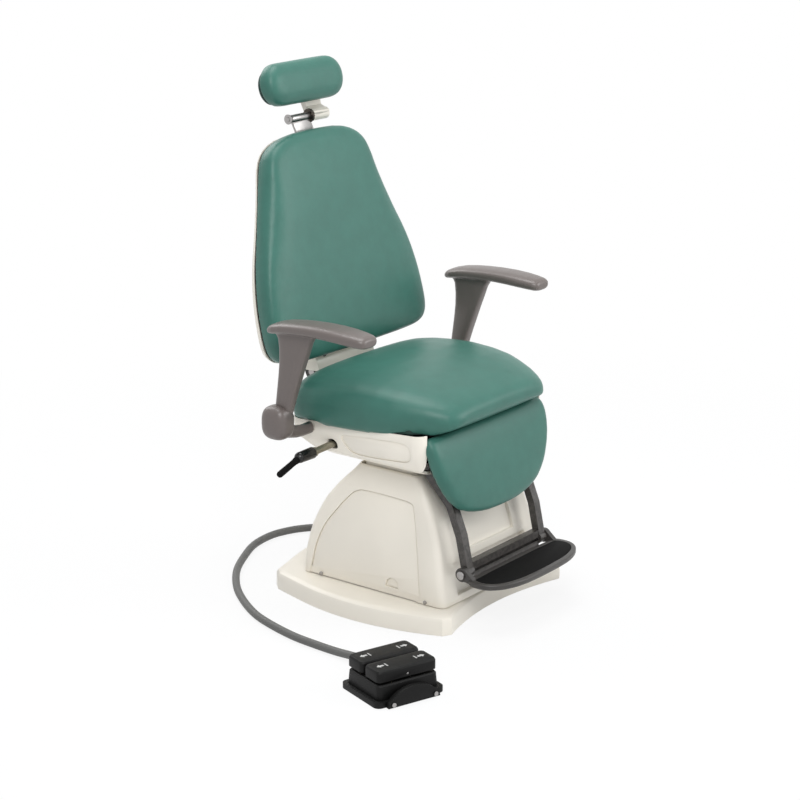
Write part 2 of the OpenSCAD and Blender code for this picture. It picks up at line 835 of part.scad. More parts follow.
// Backrest
back_y = 185;
back_z = 549;
back_shares = [
    [0, 0], [0.74, 0.004], [0.89, 0.016], [0.97, 0.046], [1, 0.097], [1, 0.184], [0.989, 0.27],
    [0.957, 0.3675], [0.907, 0.464], [0.836, 0.561], [0.764, 0.667], [0.696, 0.774], [0.65, 0.866],
    [0.6, 0.923], [0.493, 0.967], [0.321, 0.994], [0, 1]];
back_crown_shares = [[-6, 80], [-4, 46], [-1, 25], [3, 12], [9, 4], [18, 0], [32, 0]];
back_rear_inset = 6;
shell_crown_shares = [[0, 0], [0.42, 5], [0.76, 20], [1, 54]];
shell_taper_share = 0.6;
shell_wall = 3.5;
// Depth of the cushion's rim behind the front of its board
back_rim = 16;
back_pocket_inset = 11.5;
back_board_inset = 12;
groove_v = 250;
back_plate_t = 4;
back_plate_half_w = 90;
back_plate_v0 = 5;
back_plate_v1 = 420;
arm_plate_x = 64;
arm_plate_t = 10;
arm_plate_r = 22;
bar_v0 = 300;
bar_v1_drop = 5;
bar_shoulder_drop = 21;
head_rise = 28;
head_v = back_l + head_rise;
bar_v1 = head_v - bar_v1_drop;
bar_shoulder_v = head_v - bar_shoulder_drop;
bar_front_t = back_t + board_t - 8.7;
bar_mid_t = bar_front_t + head_bar_t / 2;
groove_t = bar_front_t - seat_gap;
back_plate_front_t = back_t + board_t + 2 * seat_gap;

back_outline = let (
    n = len(back_shares) - 1,
    right = [for (i = [0:n - 1]) [back_half_w * back_shares[i][0], back_l * back_shares[i][1]]],
    left = [for (i = [n:-1:1]) [-back_half_w * back_shares[i][0], back_l * back_shares[i][1]]])
    soften(concat(right, left));

// The back outline drawn in by an inset, keeping its shape
function back_ring(inset) = let (c = back_l / 2)
    [for (p = back_outline) [p.x * (1 - inset / back_half_w), c + (p.y - c) * (1 - inset / c)]];

module at_back() {
    translate([0, back_y, back_z])
        rotate([-back_tilt, 0, 0])
            children();
}

// Back hinge in the frame of the backrest
hinge_t = (recline_y - back_y) * cos(back_tilt) - (recline_z - back_z) * sin(back_tilt);
hinge_v = (recline_y - back_y) * sin(back_tilt) + (recline_z - back_z) * cos(back_tilt);

module back_cushion() {
    color([0.38, 0.57, 0.51])
        at_back()
            difference() {
                loft(concat([for (s = back_crown_shares) at_y(back_ring(s[1]), s[0])],
                    [at_y(back_ring(back_rear_inset), back_t + back_rim)]));
                loft([at_y(back_ring(back_pocket_inset), back_t),
                    at_y(back_ring(back_pocket_inset), back_t + back_rim + cut)]);
                translate([-head_bar_w / 2 - pass_gap, bar_front_t - pass_gap, back_l * 0.9])
                    cube([head_bar_w + 2 * pass_gap, back_t, back_l]);
                translate([-back_plate_half_w - pass_gap, back_plate_front_t - seat_gap, -cut])
                    cube([2 * (back_plate_half_w + pass_gap), back_t, back_pocket_inset * 2]);
            }
}

module back_board() {
    color("burlywood")
        at_back()
            difference() {
                loft([at_y(back_ring(back_board_inset), back_t + seat_gap),
                    at_y(back_ring(back_board_inset), back_t + board_t + seat_gap)]);
                translate([-head_bar_w / 2 - pass_gap, groove_t, groove_v])
                    cube([head_bar_w + 2 * pass_gap, board_t, back_l]);
            }
}

module back_frame() {
    f = back_plate_front_t;
    arm_plate = [[f, back_plate_v0 * 14], [f, back_plate_v0 - cut], [hinge_t - 25.5, back_plate_v0 - cut],
        [hinge_t - 25.5, hinge_v + 14], [hinge_t - 21.5, hinge_v + 3], [hinge_t, hinge_v],
        [hinge_t + 21.5, hinge_v + 3], [hinge_t + 12, -hinge_v * 0.6], [f + 15, back_plate_v0 * 14]];
    color([0.3, 0.31, 0.33])
        at_back()
            difference() {
                union() {
                    translate([-back_plate_half_w, f, back_plate_v0])
                        cube([2 * back_plate_half_w, back_plate_t, back_plate_v1 - back_plate_v0]);
                    both_sides() {
                        side_plate(arm_plate, arm_plate_x, arm_plate_t);
                        translate([arm_plate_x, hinge_t, hinge_v])
                            rotate([0, 90, 0])
                                cylinder(r = arm_plate_r, h = arm_plate_t);
                    }
                }
                cross_rod(hinge_t, hinge_v, shaft_r + fit_gap, shaft_half_l);
            }
}

cover_half_w = 104;
cover_half_t = 30;
cover_wall = 3;
cover_top_v = -0.5;
cover_corner_r = 14;

module hinge_cover() {
    outer = [[hinge_t - cover_half_t, hinge_v], [hinge_t - cover_half_t, cover_top_v - cover_corner_r],
        for (a = [180:-15:90]) [hinge_t - cover_half_t + cover_corner_r * (1 + cos(a)),
            cover_top_v - cover_corner_r * (1 - sin(a))],
        for (a = [90:-15:0]) [hinge_t + cover_half_t - cover_corner_r * (1 - cos(a)),
            cover_top_v - cover_corner_r * (1 - sin(a))],
        [hinge_t + cover_half_t, hinge_v + motor_r * 0.6]];
    inner = [for (p = outer) [hinge_t + (p[0] - hinge_t) * (1 - cover_wall / cover_half_t),
        p[1] > hinge_v + motor_r ? p[1] - cover_wall : p[1] - 2 * cover_wall]];
    color([0.87, 0.84, 0.78])
        at_back()
            difference() {
                side_plate(outer, -cover_half_w, 2 * cover_half_w);
                side_plate(inner, -cover_half_w + cover_wall, 2 * (cover_half_w - cover_wall));
                both_sides()
                    translate([arm_plate_x - seat_gap, hinge_t - cover_half_t + cover_wall, hinge_v / 2])
                        cube([arm_plate_t + 2 * seat_gap, cover_half_t + arm_plate_r, motor_r * 2]);
            }
}

module back_shell() {
    base = back_t + back_rim + seat_gap;
    d = back_shell_d - back_rim;
    // One level of the shell, which is less deep towards the top
    function shell_ring(k, inset, lift) = let (s = shell_crown_shares[k])
        [for (p = back_ring(back_rear_inset + inset + s[1]))
            [-p.x, base + d * s[0] * (1 - shell_taper_share * p.y / back_l) - lift, p.y]];
    color([0.88, 0.86, 0.81])
        at_back()
            difference() {
                loft([for (i = [0:3]) shell_ring(i, 0, 0)]);
                loft([for (i = [0:3]) shell_ring(i, shell_wall, i == 0 ? cut : (i == 1 ? 0 : shell_wall))]);
                translate([-back_plate_half_w - pass_gap, base - cut, -cut])
                    cube([2 * (back_plate_half_w + pass_gap), cut + pass_gap, back_plate_v0 * 15]);
                translate([-head_bar_w / 2 - pass_gap, bar_front_t - pass_gap, back_l * 0.9])
                    cube([head_bar_w + 2 * pass_gap, head_bar_t + 2 * pass_gap, back_l]);
                both_sides()
                    translate([arm_plate_x - pass_gap, base - cut, -cut])
                        cube([arm_plate_t + 2 * pass_gap, d + pass_gap + cut, back_plate_v0 * 15]);
            }
}

// Headrest
barrel_r = 9;
barrel_x0 = -55;
barrel_x1 = 24;
pin_r = 5;
knob_l = 8;
knob_r = 12;
ratchet_x = 24.5;
ratchet_t = 6;
ratchet_r = 15;
ratchet_teeth = 16;
ratchet_tooth = 1.5;
block_x0 = 31;
block_w = 55;
block_low_r = 14;
block_top_r = 11;
pad_pivot_t = 62;
pad_pivot_rise = 67;
pad_pivot_v = head_v + pad_pivot_rise;
pad_lug_r = 8;
pad_lug_t = 5;
head_mid_rise = 11.5;
head_mid_v = pad_pivot_v + head_mid_rise;
head_front_t = -11;
head_crown_shares = [[0, 44], [0.02, 30], [0.1, 16], [0.25, 5], [0.49, 0], [0.88, 0], [1, 6]];
head_board_t = 6;
head_board_inset = 14;

module head_bar() {
    color("silver")
        at_back()
            difference() {
                union() {
                    translate([-head_bar_w / 2, bar_front_t, bar_v0])
                        cube([head_bar_w, head_bar_t, bar_shoulder_v - bar_v0]);
                    translate([-head_bar_w / 2, bar_front_t, bar_shoulder_v - cut])
                        cube([head_bar_w / 2 + barrel_x1, head_bar_t, bar_v1 - bar_shoulder_v + cut]);
                    translate([barrel_x0, bar_mid_t, head_v])
                        rotate([0, 90, 0])
                            cylinder(r = barrel_r, h = barrel_x1 - barrel_x0);
                }
                translate([barrel_x0 - cut, bar_mid_t, head_v])
                    rotate([0, 90, 0])
                        cylinder(r = pin_r + fit_gap, h = 2 * head_bar_w);
            }
}

module head_knob() {
    color("lightgray")
        at_back()
            translate([barrel_x0 - seat_gap, bar_mid_t, head_v])
                rotate([0, -90, 0])
                    difference() {
                        cylinder(r1 = barrel_r, r2 = knob_r, h = knob_l);
                        translate([0, 0, -cut])
                            cylinder(r = pin_r + fit_gap, h = knob_l + 2 * cut);
                    }
}

module head_pins() {
    color("gainsboro")
        at_back() {
            translate([barrel_x0 - knob_l - cut, bar_mid_t, head_v])
                rotate([0, 90, 0])
                    cylinder(r = pin_r, h = block_x0 + block_w - barrel_x0 + knob_l);
            translate([ratchet_x, pad_pivot_t, pad_pivot_v])
                rotate([0, 90, 0])
                    cylinder(r = pin_r, h = block_w + 2 * (block_x0 - ratchet_x));
        }
}

module head_ratchet() {
    teeth = [for (i = [0:2 * ratchet_teeth - 1]) let (a = 180 * i / ratchet_teeth)
        [bar_mid_t + (ratchet_r + (i % 2) * ratchet_tooth) * cos(a),
            head_v + (ratchet_r + (i % 2) * ratchet_tooth) * sin(a)]];
    color([0.35, 0.33, 0.3])
        at_back()
            difference() {
                side_plate(teeth, ratchet_x, ratchet_t);
                translate([ratchet_x - cut, bar_mid_t, head_v])
                    rotate([0, 90, 0])
                        cylinder(r = pin_r + fit_gap, h = ratchet_t + 2 * cut);
            }
}

module head_block() {
    web = [[bar_mid_t - 4, head_v + 13], [pad_pivot_t - block_top_r, pad_pivot_v - 46],
        [pad_pivot_t - block_top_r, pad_pivot_v], [pad_pivot_t + block_top_r, pad_pivot_v],
        [bar_mid_t + block_low_r, head_v], [bar_mid_t, head_v]];
    color([0.87, 0.84, 0.78])
        at_back()
            difference() {
                union() {
                    side_plate(web, block_x0, block_w);
                    translate([block_x0, bar_mid_t, head_v])
                        rotate([0, 90, 0])
                            cylinder(r = block_low_r, h = block_w);
                    translate([block_x0, pad_pivot_t, pad_pivot_v])
                        rotate([0, 90, 0])
                            cylinder(r = block_top_r, h = block_w);
                }
                for (p = [[bar_mid_t, head_v], [pad_pivot_t, pad_pivot_v]])
                    translate([block_x0 - cut, p[0], p[1]])
                        rotate([0, 90, 0])
                            cylinder(r = pin_r + fit_gap, h = block_w + 2 * cut);
            }
}

function head_ring(inset) = box_ring(head_half_w - inset, head_mid_v - head_h / 2 + inset,
    head_mid_v + head_h / 2 - inset, head_h / 2 - inset - cut, 8);

module head_cushion() {
    color([0.38, 0.57, 0.51])
        at_back()
            loft([for (s = head_crown_shares) at_y(head_ring(s[1]), head_front_t + head_t * s[0])]);
}

module head_board() {
    near = head_front_t + head_t + seat_gap;
    lug = [[near + head_board_t / 2, pad_pivot_v - pad_lug_r * 2], [pad_pivot_t, pad_pivot_v - pad_lug_r],
        [pad_pivot_t, pad_pivot_v + pad_lug_r], [near + head_board_t / 2, pad_pivot_v + pad_lug_r * 2]];
    color([0.2, 0.2, 0.2])
        at_back()
            difference() {
                union() {
                    loft([at_y(head_ring(head_board_inset), near),
                        at_y(head_ring(head_board_inset), near + head_board_t)]);
                    for (x = [block_x0 - cut - pad_lug_t, block_x0 + block_w + cut]) {
                        side_plate(lug, x, pad_lug_t);
                        translate([x, pad_pivot_t, pad_pivot_v])
                            rotate([0, 90, 0])
                                cylinder(r = pad_lug_r, h = pad_lug_t);
                    }
                }
                translate([0, pad_pivot_t, pad_pivot_v])
                    rotate([0, 90, 0])
                        cylinder(r = pin_r + fit_gap, h = 3 * block_w);
            }
}

// Arms: each pad section is [depth, drop below the top, half width share, half thickness]
pad_sections = [[-82, 24, 0.55, 6], [-76, 21, 0.78, 9.5], [-62, 17.5, 0.93, 12], [-20, 13, 1, 13.5],
    [60, 12, 1, 14.5], [120, 16, 0.96, 15.5], [160, 24, 0.84, 15], [178, 31, 0.66, 11], [184, 36, 0.45, 7]];
// Each post section is [height, depth, half depth]
post_sections = [[480, 142, 12.5], [519, 134, 14], [550, 123.5, 17], [585, 113, 21], [612, 106, 26],
    [640, 98, 36], [664, 90, 46]];
post_half_w = 17;
post_power = 2.6;
boss_w = 54;
boss_y0 = 118;
boss_y1 = 180;
boss_z0 = 419;
boss_z1 = 503;
boss_round = 26;
boss_small_round = 10;
stub_r = 11;
stub_x = 243;

module arm() {
    mid_x = arm_outer - arm_w / 2;
    boss = [for (c = [[boss_y0, boss_z0, boss_small_round, 180], [boss_y1, boss_z0, boss_round, 270],
            [boss_y1, boss_z1, boss_round, 0], [boss_y0, boss_z1, boss_small_round, 90]], i = [0:4])
        let (a = c[3] + 22.5 * i)
        [c[0] + (c[0] == boss_y0 ? c[2] : -c[2]) + c[2] * cos(a),
            c[1] + (c[1] == boss_z0 ? c[2] : -c[2]) + c[2] * sin(a)]];
    difference() {
        union() {
            loft([for (s = pad_sections) oval_y(mid_x, arm_z - s[1], s[0], arm_w / 2 * s[2], s[3], 20, post_power)]);
            loft([for (s = post_sections) oval_z(mid_x, s[1], s[0], post_half_w, s[2], 16, post_power)]);
            side_plate(boss, arm_outer - boss_w, boss_w);
            translate([stub_x, arm_y, arm_pivot_z])
                rotate([0, 90, 0])
                    cylinder(r = stub_r, h = boss_w + arm_outer - stub_x - 2 * boss_w + cut);
        }
        translate([stub_x - cut, arm_y, arm_pivot_z])
            rotate([0, 90, 0])
                cylinder(r = arm_shaft_r + fit_gap, h = arm_shaft_out_x - stub_x + 2 * cut);
    }
}

module arm_left() {
    color([0.49, 0.45, 0.43])
        arm();
}

module arm_right() {
    color([0.49, 0.45, 0.43])
        mirror([1, 0, 0])
            arm();
}

// Leg rest: half width shares against height shares below the top
leg_shares = [
    [0, 0.9], [0.02, 0.965], [0.07, 0.995], [0.16, 1], [0.29, 0.98], [0.42, 0.945], [0.56, 0.885],
    [0.72, 0.785], [0.85, 0.62], [0.93, 0.42], [0.98, 0.2]];
leg_crown_shares = [[0, 70], [0.03, 44], [0.12, 24], [0.28, 11], [0.46, 4], [0.66, 0], [0.9, 0], [1, 4]];
leg_front_t = -20;
leg_board_t = 8;
leg_board_inset = 16;
leg_notch_share = 0.4;
leg_top_share = 0.3;
// Share of a crown's inset that the sides take
leg_side_share = 0.4;
leg_bar_x = 132;
leg_bar_path = [[-116, 342], [-181, 272], [-208, 206], [-226, 124]];
foot_y = leg_bar_path[3][0];
foot_z = leg_bar_path[3][1];
gusset_t = 8;
crank_in_x = act_x - act_pin_half_l - 2;
crank_t = 7;
crank_r = 13;
crank_reach = 47;
slot_near = 35;
slot_half_w = act_pin_r + 2;
rail_y = -222;
rail_z0 = 106;
rail_z1 = 145;
rail_depth = 9;
leg_shaft_half_l = leg_bar_x + bar_w;

leg_outline = let (
    n = len(leg_shares) - 1,
    left = [for (i = [0:n]) [-leg_half_w * leg_shares[i][1], -leg_h * leg_shares[i][0]]],
    right = [for (i = [n:-1:0]) [leg_half_w * leg_shares[i][1], -leg_h * leg_shares[i][0]]])
    soften(concat(left, right));

function leg_ring(inset) = let (c = -leg_h / 2)
    [for (p = leg_outline) [p.x * (1 - inset * leg_side_share / leg_half_w),
        c + (p.y - c) * (1 - inset / -c)]];

module at_leg() {
    translate([0, leg_origin_y, leg_origin_z])
        rotate([-leg_tilt, 0, 0])
            children();
}

module leg_cushion() {
    color([0.38, 0.57, 0.51])
        at_leg()
            loft([for (s = leg_crown_shares) at_y(leg_ring(s[1]), leg_front_t + leg_t * s[0] + 2 * s[0])]);
}

module leg_board() {
    near = leg_front_t + leg_t + 2 + seat_gap;
    color("burlywood")
        at_leg()
            difference() {
                loft([at_y(leg_ring(leg_board_inset), near), at_y(leg_ring(leg_board_inset), near + leg_board_t)]);
                translate([-leg_half_w, near - cut, -leg_h * leg_top_share])
                    cube([2 * leg_half_w, leg_board_t + 2 * cut, leg_h]);
                both_sides()
                    translate([leg_bar_x - pass_gap, near - cut, -leg_h])
                        cube([leg_half_w, leg_board_t + 2 * cut, leg_h * leg_notch_share]);
            }
}

// Outline of a bar around its centre path, in depth and height
function bar_side(p, i, side) = let (
    a = p[max(i - 1, 0)], b = p[min(i + 1, len(p) - 1)],
    d = (b - a) / norm(b - a))
    [p[i][0] - side * d[1] * bar_d / 2, p[i][1] + side * d[0] * bar_d / 2];

module leg_frame() {
    p = leg_bar_path;
    bar = concat([for (i = [0:3]) bar_side(p, i, 1)], [for (i = [3:-1:0]) bar_side(p, i, -1)]);
    board_rear = leg_front_t + leg_t + 2 + 2 * seat_gap + leg_board_t;
    gusset = [[leg_y - lug_r * 0.6, leg_z - lug_r * 0.8], [leg_y + lug_r, leg_z],
        bar_side(p, 0, 1), p[1], bar_side(p, 1, -1)];
    color([0.31, 0.29, 0.28])
        difference() {
            union() {
                cross_rod(leg_y, leg_z, shaft_r, leg_shaft_half_l);
                both_sides() {
                    side_plate(bar, leg_bar_x, bar_w);
                    side_plate(gusset, leg_bar_x + (bar_w - gusset_t) / 2, gusset_t);
                    translate([leg_bar_x + (bar_w - gusset_t) / 2, leg_y, leg_z])
                        rotate([0, 90, 0])
                            cylinder(r = lug_r, h = gusset_t);
                    translate([leg_bar_x, foot_y, foot_z])
                        rotate([0, 90, 0])
                            cylinder(r = bar_d * 0.7, h = bar_w);
                }
                for (x = [crank_in_x - crank_t, act_x + act_pin_half_l + 2 - crank_t])
                    translate([x, leg_y, leg_z])
                        rotate([90, 0, 90])
                            rotate([0, 0, act_slope + act_half_angle - 90])
                                linear_extrude(crank_t) {
                                    translate([0, -crank_r])
                                        square([crank_reach, 2 * crank_r]);
                                    circle(r = crank_r);
                                    translate([crank_reach, 0])
                                        circle(r = crank_r);
                                }
                translate([-leg_bar_x - cut, rail_y - rail_depth, rail_z0])
                    cube([2 * leg_bar_x + 2 * cut, 2 * rail_depth, rail_z1 - rail_z0]);
                at_leg()
                    for (x = [-leg_bar_x - bar_w, leg_bar_x])
                        translate([x, board_rear, -leg_h * 0.62])
                            cube([bar_w, leg_hinge_t - board_rear - shaft_r / 4, leg_h * 0.5]);
            }
            translate([act_x - act_pin_half_l * 2, leg_y, leg_z])
                rotate([90, 0, 90])
                    rotate([0, 0, act_slope + act_half_angle - 90])
                        linear_extrude(act_pin_half_l * 4) {
                            translate([slot_near, -slot_half_w])
                                square([crank_reach - slot_near, 2 * slot_half_w]);
                            translate([slot_near, 0])
                                circle(r = slot_half_w);
                            translate([crank_reach, 0])
                                circle(r = slot_half_w);
                        }
            cross_rod(foot_y, foot_z, foot_pin_r + fit_gap, arm_outer);
        }
}

// Footplate
foot_pin_r = 6;
foot_ear_x = 156;
foot_ear_t = 12;
foot_ear_r = 16;
foot_z0 = 106;
foot_rim = 12;
foot_mat_t = 4;
foot_rear_gap = 17;
foot_shares = [[0.94, 0], [0.985, 0.12], [1, 0.3], [0.985, 0.48], [0.93, 0.64], [0.83, 0.78], [0.69, 0.89],
    [0.5, 0.965], [0.26, 0.992], [0, 1]];

function foot_outline(inset) = let (
    rear = foot_y - foot_rear_gap,
    reach = foot_reach - foot_rear_gap,
    half = [for (s = foot_shares) [foot_half_w * s[0] * (1 - inset / foot_half_w),
        rear - inset - (reach - 2 * inset) * s[1]]],
    n = len(half) - 1)
    soften(concat([for (i = [0:n]) [-half[i][0], half[i][1]]], [for (i = [n - 1:-1:0]) half[i]]));

module footplate() {
    color([0.33, 0.31, 0.29])
        difference() {
            union() {
                loft([at_z(foot_outline(1.5), foot_z0), at_z(foot_outline(0), foot_z0 + 3),
                    at_z(foot_outline(0), foot_z0 + foot_t), at_z(foot_outline(2), foot_z0 + foot_t + 2)]);
                both_sides() {
                    side_plate([[foot_y + foot_ear_r * 0.7, foot_z - foot_ear_r * 0.7],
                        [foot_y + foot_ear_r * 0.6, foot_z + foot_ear_r * 0.8],
                        [foot_y - foot_ear_r * 0.7, foot_z + foot_ear_r * 0.7],
                        [foot_y - foot_rear_gap * 2, foot_z0 + foot_t], [foot_y - foot_rear_gap * 2, foot_z0]],
                        foot_ear_x, foot_ear_t);
                    translate([foot_ear_x, foot_y, foot_z])
                        rotate([0, 90, 0])
                            cylinder(r = foot_ear_r, h = foot_ear_t);
                }
            }
            translate([0, 0, foot_z0 + foot_t - foot_mat_t / 2])
                linear_extrude(foot_t)
                    polygon(foot_outline(foot_rim));
            cross_rod(foot_y, foot_z, foot_pin_r + fit_gap, arm_outer);
        }
}

module foot_mat() {
    color([0.07, 0.07, 0.07])
        translate([0, 0, foot_z0 + foot_t - foot_mat_t / 2 + seat_gap / 3])
            linear_extrude(foot_mat_t)
                polygon(foot_outline(foot_rim + seat_gap));
}

module foot_bolts() {
    color("silver")
        both_sides()
            translate([leg_bar_x + cut, foot_y, foot_z])
                rotate([0, 90, 0]) {
                    cylinder(r = foot_pin_r, h = foot_ear_x + foot_ear_t - leg_bar_x);
                    translate([0, 0, foot_ear_x + foot_ear_t - leg_bar_x - cut + seat_gap])
                        cylinder(r = foot_pin_r * 1.6, h = foot_pin_r * 0.8);
                }
}

// Mains inlet, cable gland and the foot controller's cable
module mains_inlet() {
    rear = plinth_rear_at(inlet_x) + inlet_proud;
    color([0.1, 0.1, 0.1])
        difference() {
            translate([inlet_x - inlet_w / 2, rear - inlet_d, inlet_z])
                cube([inlet_w, inlet_d, inlet_h]);
            translate([inlet_x - inlet_w / 2 + inlet_wall, rear - inlet_d / 2, inlet_z + inlet_wall])
                cube([inlet_w - 2 * inlet_wall, inlet_d, inlet_h - 2 * inlet_wall]);
        }
    color("silver")
        for (x = [-1, 0, 1])
            translate([inlet_x + x * inlet_w / 5, rear - inlet_d / 2 - cut, inlet_z + inlet_h / 2])
                rotate([-90, 0, 0])
                    cylinder(r = inlet_pin_r, h = inlet_d / 3, $fn = 16);
}

module cable_gland() {
    color([0.12, 0.12, 0.12])
        difference() {
            union() {
                translate([gland_x, gland_y - gland_nut_l, gland_z])
                    rotate([-90, 0, 0])
                        cylinder(r = gland_neck_r, h = gland_l + gland_nut_l);
                translate([gland_x, plinth_rear_at(gland_x - gland_r) + seat_gap, gland_z])
                    rotate([-90, 0, 0])
                        cylinder(r1 = gland_r, r2 = gland_tip_r + cut, h = gland_nut_l);
            }
            translate([gland_x, gland_y - gland_l, gland_z])
                rotate([-90, 0, 0])
                    cylinder(r = cable_d / 2 + 2 * seat_gap, h = 4 * gland_l);
        }
}

cable_path = [[140, 285, 20], [140, 325, 20], [141, 362, 16], [137, 398, 11], [124, 428, 9], [99, 451, 9],
    [62, 471, 9], [9, 483, 9], [-62, 474, 9], [-134, 443, 9], [-222, 392, 9], [-300, 324, 9],
    [-357, 254, 9], [-405, 177, 9], [-433, 108, 9], [-457, 28, 9], [-467, -36, 9], [-474, -100, 9],
    [-480, -150, 13], [-486.5, -191, 18], [-496.2, -224.3, 22], [-509.2, -261.6, 22]];
cable_sides = 12;
cable_steps = 3;

// A smooth curve through the points of the cable
function curve(p, i, t) = let (
    n = len(p) - 1, a = p[max(i - 1, 0)], b = p[i], c = p[i + 1], d = p[min(i + 2, n)])
    0.5 * (2 * b + t * (c - a) + t * t * (2 * a - 5 * b + 4 * c - d) + t * t * t * (3 * b - a - 3 * c + d));

cable_line = concat([for (i = [0:len(cable_path) - 2], s = [0:cable_steps - 1])
    curve(cable_path, i, s / cable_steps)], [cable_path[len(cable_path) - 1]]);

function heading(p, i) = let (d = p[min(i + 1, len(p) - 1)] - p[max(i - 1, 0)]) d / norm(d);

function cable_ring(i) = let (
    d = heading(cable_line, i),
    side = cross(d, [0, 0, 1]) / norm(cross(d, [0, 0, 1])),
    up = cross(side, d))
    [for (k = [0:cable_sides - 1]) let (a = -360 * k / cable_sides)
        cable_line[i] + (side * cos(a) - up * sin(a)) * cable_d / 2];

module foot_cable() {
    color([0.32, 0.32, 0.31])
        loft([for (i = [0:len(cable_line) - 1]) cable_ring(i)]);
}

// Foot controller
ctl_x = -527.5;
ctl_y = -314;
ctl_rear = 77;
ctl_corner_r = 14;
ctl_base_t = 12;
ctl_body_inset = 9;
ctl_body_corner_r = 12;
ctl_wall = 3;
ctl_pedal_w = 56;
ctl_pedal_l = 146;
ctl_pedal_gap = 8;
ctl_pedal_top = 74;
ctl_pedal_rise = 6;
ctl_pivot_z = 56;
ctl_pivot_r = 3;
ctl_post_w = 16;
ctl_guard_h = 38;
ctl_guard_half_w = 64;
ctl_guard_d = 12;
ctl_screw_x = 52;
ctl_screw_z = 8;
ctl_screw_r = 3;
ctl_screw_head_r = 5;
ctl_front = ctl_rear - ctl_w;
ctl_mid = (ctl_rear + ctl_front) / 2 + 2;

module at_ctl() {
    translate([ctl_x, ctl_y, 0])
        rotate([0, 0, ctl_turn])
            children();
}

module ctl_screw_holes(r, y, l) {
    for (x = [-ctl_screw_x, ctl_screw_x])
        translate([x, y, ctl_screw_z])
            rotate([-90, 0, 0])
                cylinder(r = r, h = l, $fn = 24);
}

module ctl_base() {
    color([0.09, 0.09, 0.09])
        at_ctl()
            difference() {
                linear_extrude(ctl_base_t)
                    polygon(box_ring(ctl_l / 2, ctl_front, ctl_rear, ctl_corner_r, 5));
                ctl_screw_holes(ctl_screw_r + fit_gap, ctl_front - cut, ctl_l / 4);
            }
}

module ctl_body() {
    hw = ctl_l / 2 - ctl_body_inset;
    y0 = ctl_front + ctl_body_inset;
    y1 = ctl_rear - ctl_body_inset;
    low = ctl_base_t + fit_gap;
    color([0.1, 0.1, 0.1])
        at_ctl()
            difference() {
                union() {
                    loft([at_z(box_ring(hw, y0, y1, ctl_body_corner_r, 5), low),
                        at_z(box_ring(hw - 2, y0 + 2, y1 - 2, ctl_body_corner_r, 5), ctl_h - 3),
                        at_z(box_ring(hw - 5, y0 + 5, y1 - 5, ctl_body_corner_r - 3, 5), ctl_h)]);
                    for (side = [-1, 1])
                        translate([-ctl_post_w / 2, ctl_mid + side * (ctl_pedal_w + ctl_pedal_gap) / 2
                                - ctl_post_w / 2, ctl_h - cut])
                            cube([ctl_post_w, ctl_post_w, ctl_pivot_z - ctl_h + ctl_pivot_r * 2 + cut]);
                }
                translate([-ctl_l, ctl_mid, ctl_pivot_z])
                    translate([ctl_l, -ctl_l / 2, 0])
                        rotate([-90, 0, 0])
                            cylinder(r = ctl_pivot_r + fit_gap, h = ctl_l);
                translate([0, ctl_rear - ctl_body_inset - ctl_l / 6, ctl_cable_z])
                    rotate([-90, 0, 0])
                        cylinder(r = cable_d / 2 + cable_clear, h = ctl_l / 3);
                loft([at_z(box_ring(hw - ctl_wall * 2, y0 + ctl_wall * 2, y1 - ctl_wall * 2,
                        ctl_body_corner_r / 2, 5), low - cut),
                    at_z(box_ring(hw - ctl_wall * 3, y0 + ctl_wall * 3, y1 - ctl_wall * 3,
                        ctl_body_corner_r / 2, 5), ctl_h - ctl_wall)]);
            }
}
ctl_cable_z = 22;
cable_clear = 1;

module ctl_pivots() {
    color("silver")
        at_ctl()
            for (side = [-1, 1])
                translate([0, ctl_mid + side * (ctl_pedal_w + ctl_pedal_gap) / 2 - ctl_pedal_w / 2 + cut, ctl_pivot_z])
                    rotate([-90, 0, 0])
                        cylinder(r = ctl_pivot_r, h = ctl_pedal_w - 2 * cut, $fn = 24);
}

module pedal(side) {
    y = ctl_mid + side * (ctl_pedal_w + ctl_pedal_gap) / 2;
    low = ctl_h + ctl_pedal_rise;
    hl = ctl_pedal_l / 2;
    hw = ctl_pedal_w / 2;
    color([0.13, 0.13, 0.13])
        at_ctl()
            translate([0, y, 0])
                difference() {
                    loft([at_z(box_ring(hl, -hw, hw, 10, 5), low),
                        at_z(box_ring(hl, -hw, hw, 10, 5), ctl_pedal_top - 5),
                        at_z(box_ring(hl - 2, -hw + 2, hw - 2, 9, 5), ctl_pedal_top - 1),
                        at_z(box_ring(hl - 6, -hw + 6, hw - 6, 7, 5), ctl_pedal_top)]);
                    loft([at_z(box_ring(hl - ctl_wall, -hw + ctl_wall, hw - ctl_wall, 7, 5), low - cut),
                        at_z(box_ring(hl - ctl_wall * 2, -hw + ctl_wall * 2, hw - ctl_wall * 2, 5, 5),
                            ctl_pedal_top - ctl_wall)]);
                    translate([0, -ctl_pedal_w, ctl_pivot_z])
                        rotate([-90, 0, 0])
                            cylinder(r = ctl_pivot_r + fit_gap, h = 2 * ctl_pedal_w, $fn = 24);
                }
}

module ctl_pedal_seat() {
    pedal(1);
}

module ctl_pedal_back() {
    pedal(-1);
}

module ctl_guard() {
    n = 16;
    hood = [for (i = [0:n]) let (a = 180 * i / n)
        [ctl_guard_half_w * cos(a), cut + ctl_guard_h * pow(sin(a), 1.2)]];
    color([0.11, 0.11, 0.11])
        at_ctl()
            translate([0, ctl_front - seat_gap, 0])
                difference() {
                    rotate([90, 0, 0])
                        linear_extrude(ctl_guard_d)
                            polygon(hood);
                    ctl_screw_holes(ctl_screw_r + fit_gap, -ctl_guard_d - cut, ctl_l / 4);
                }
}

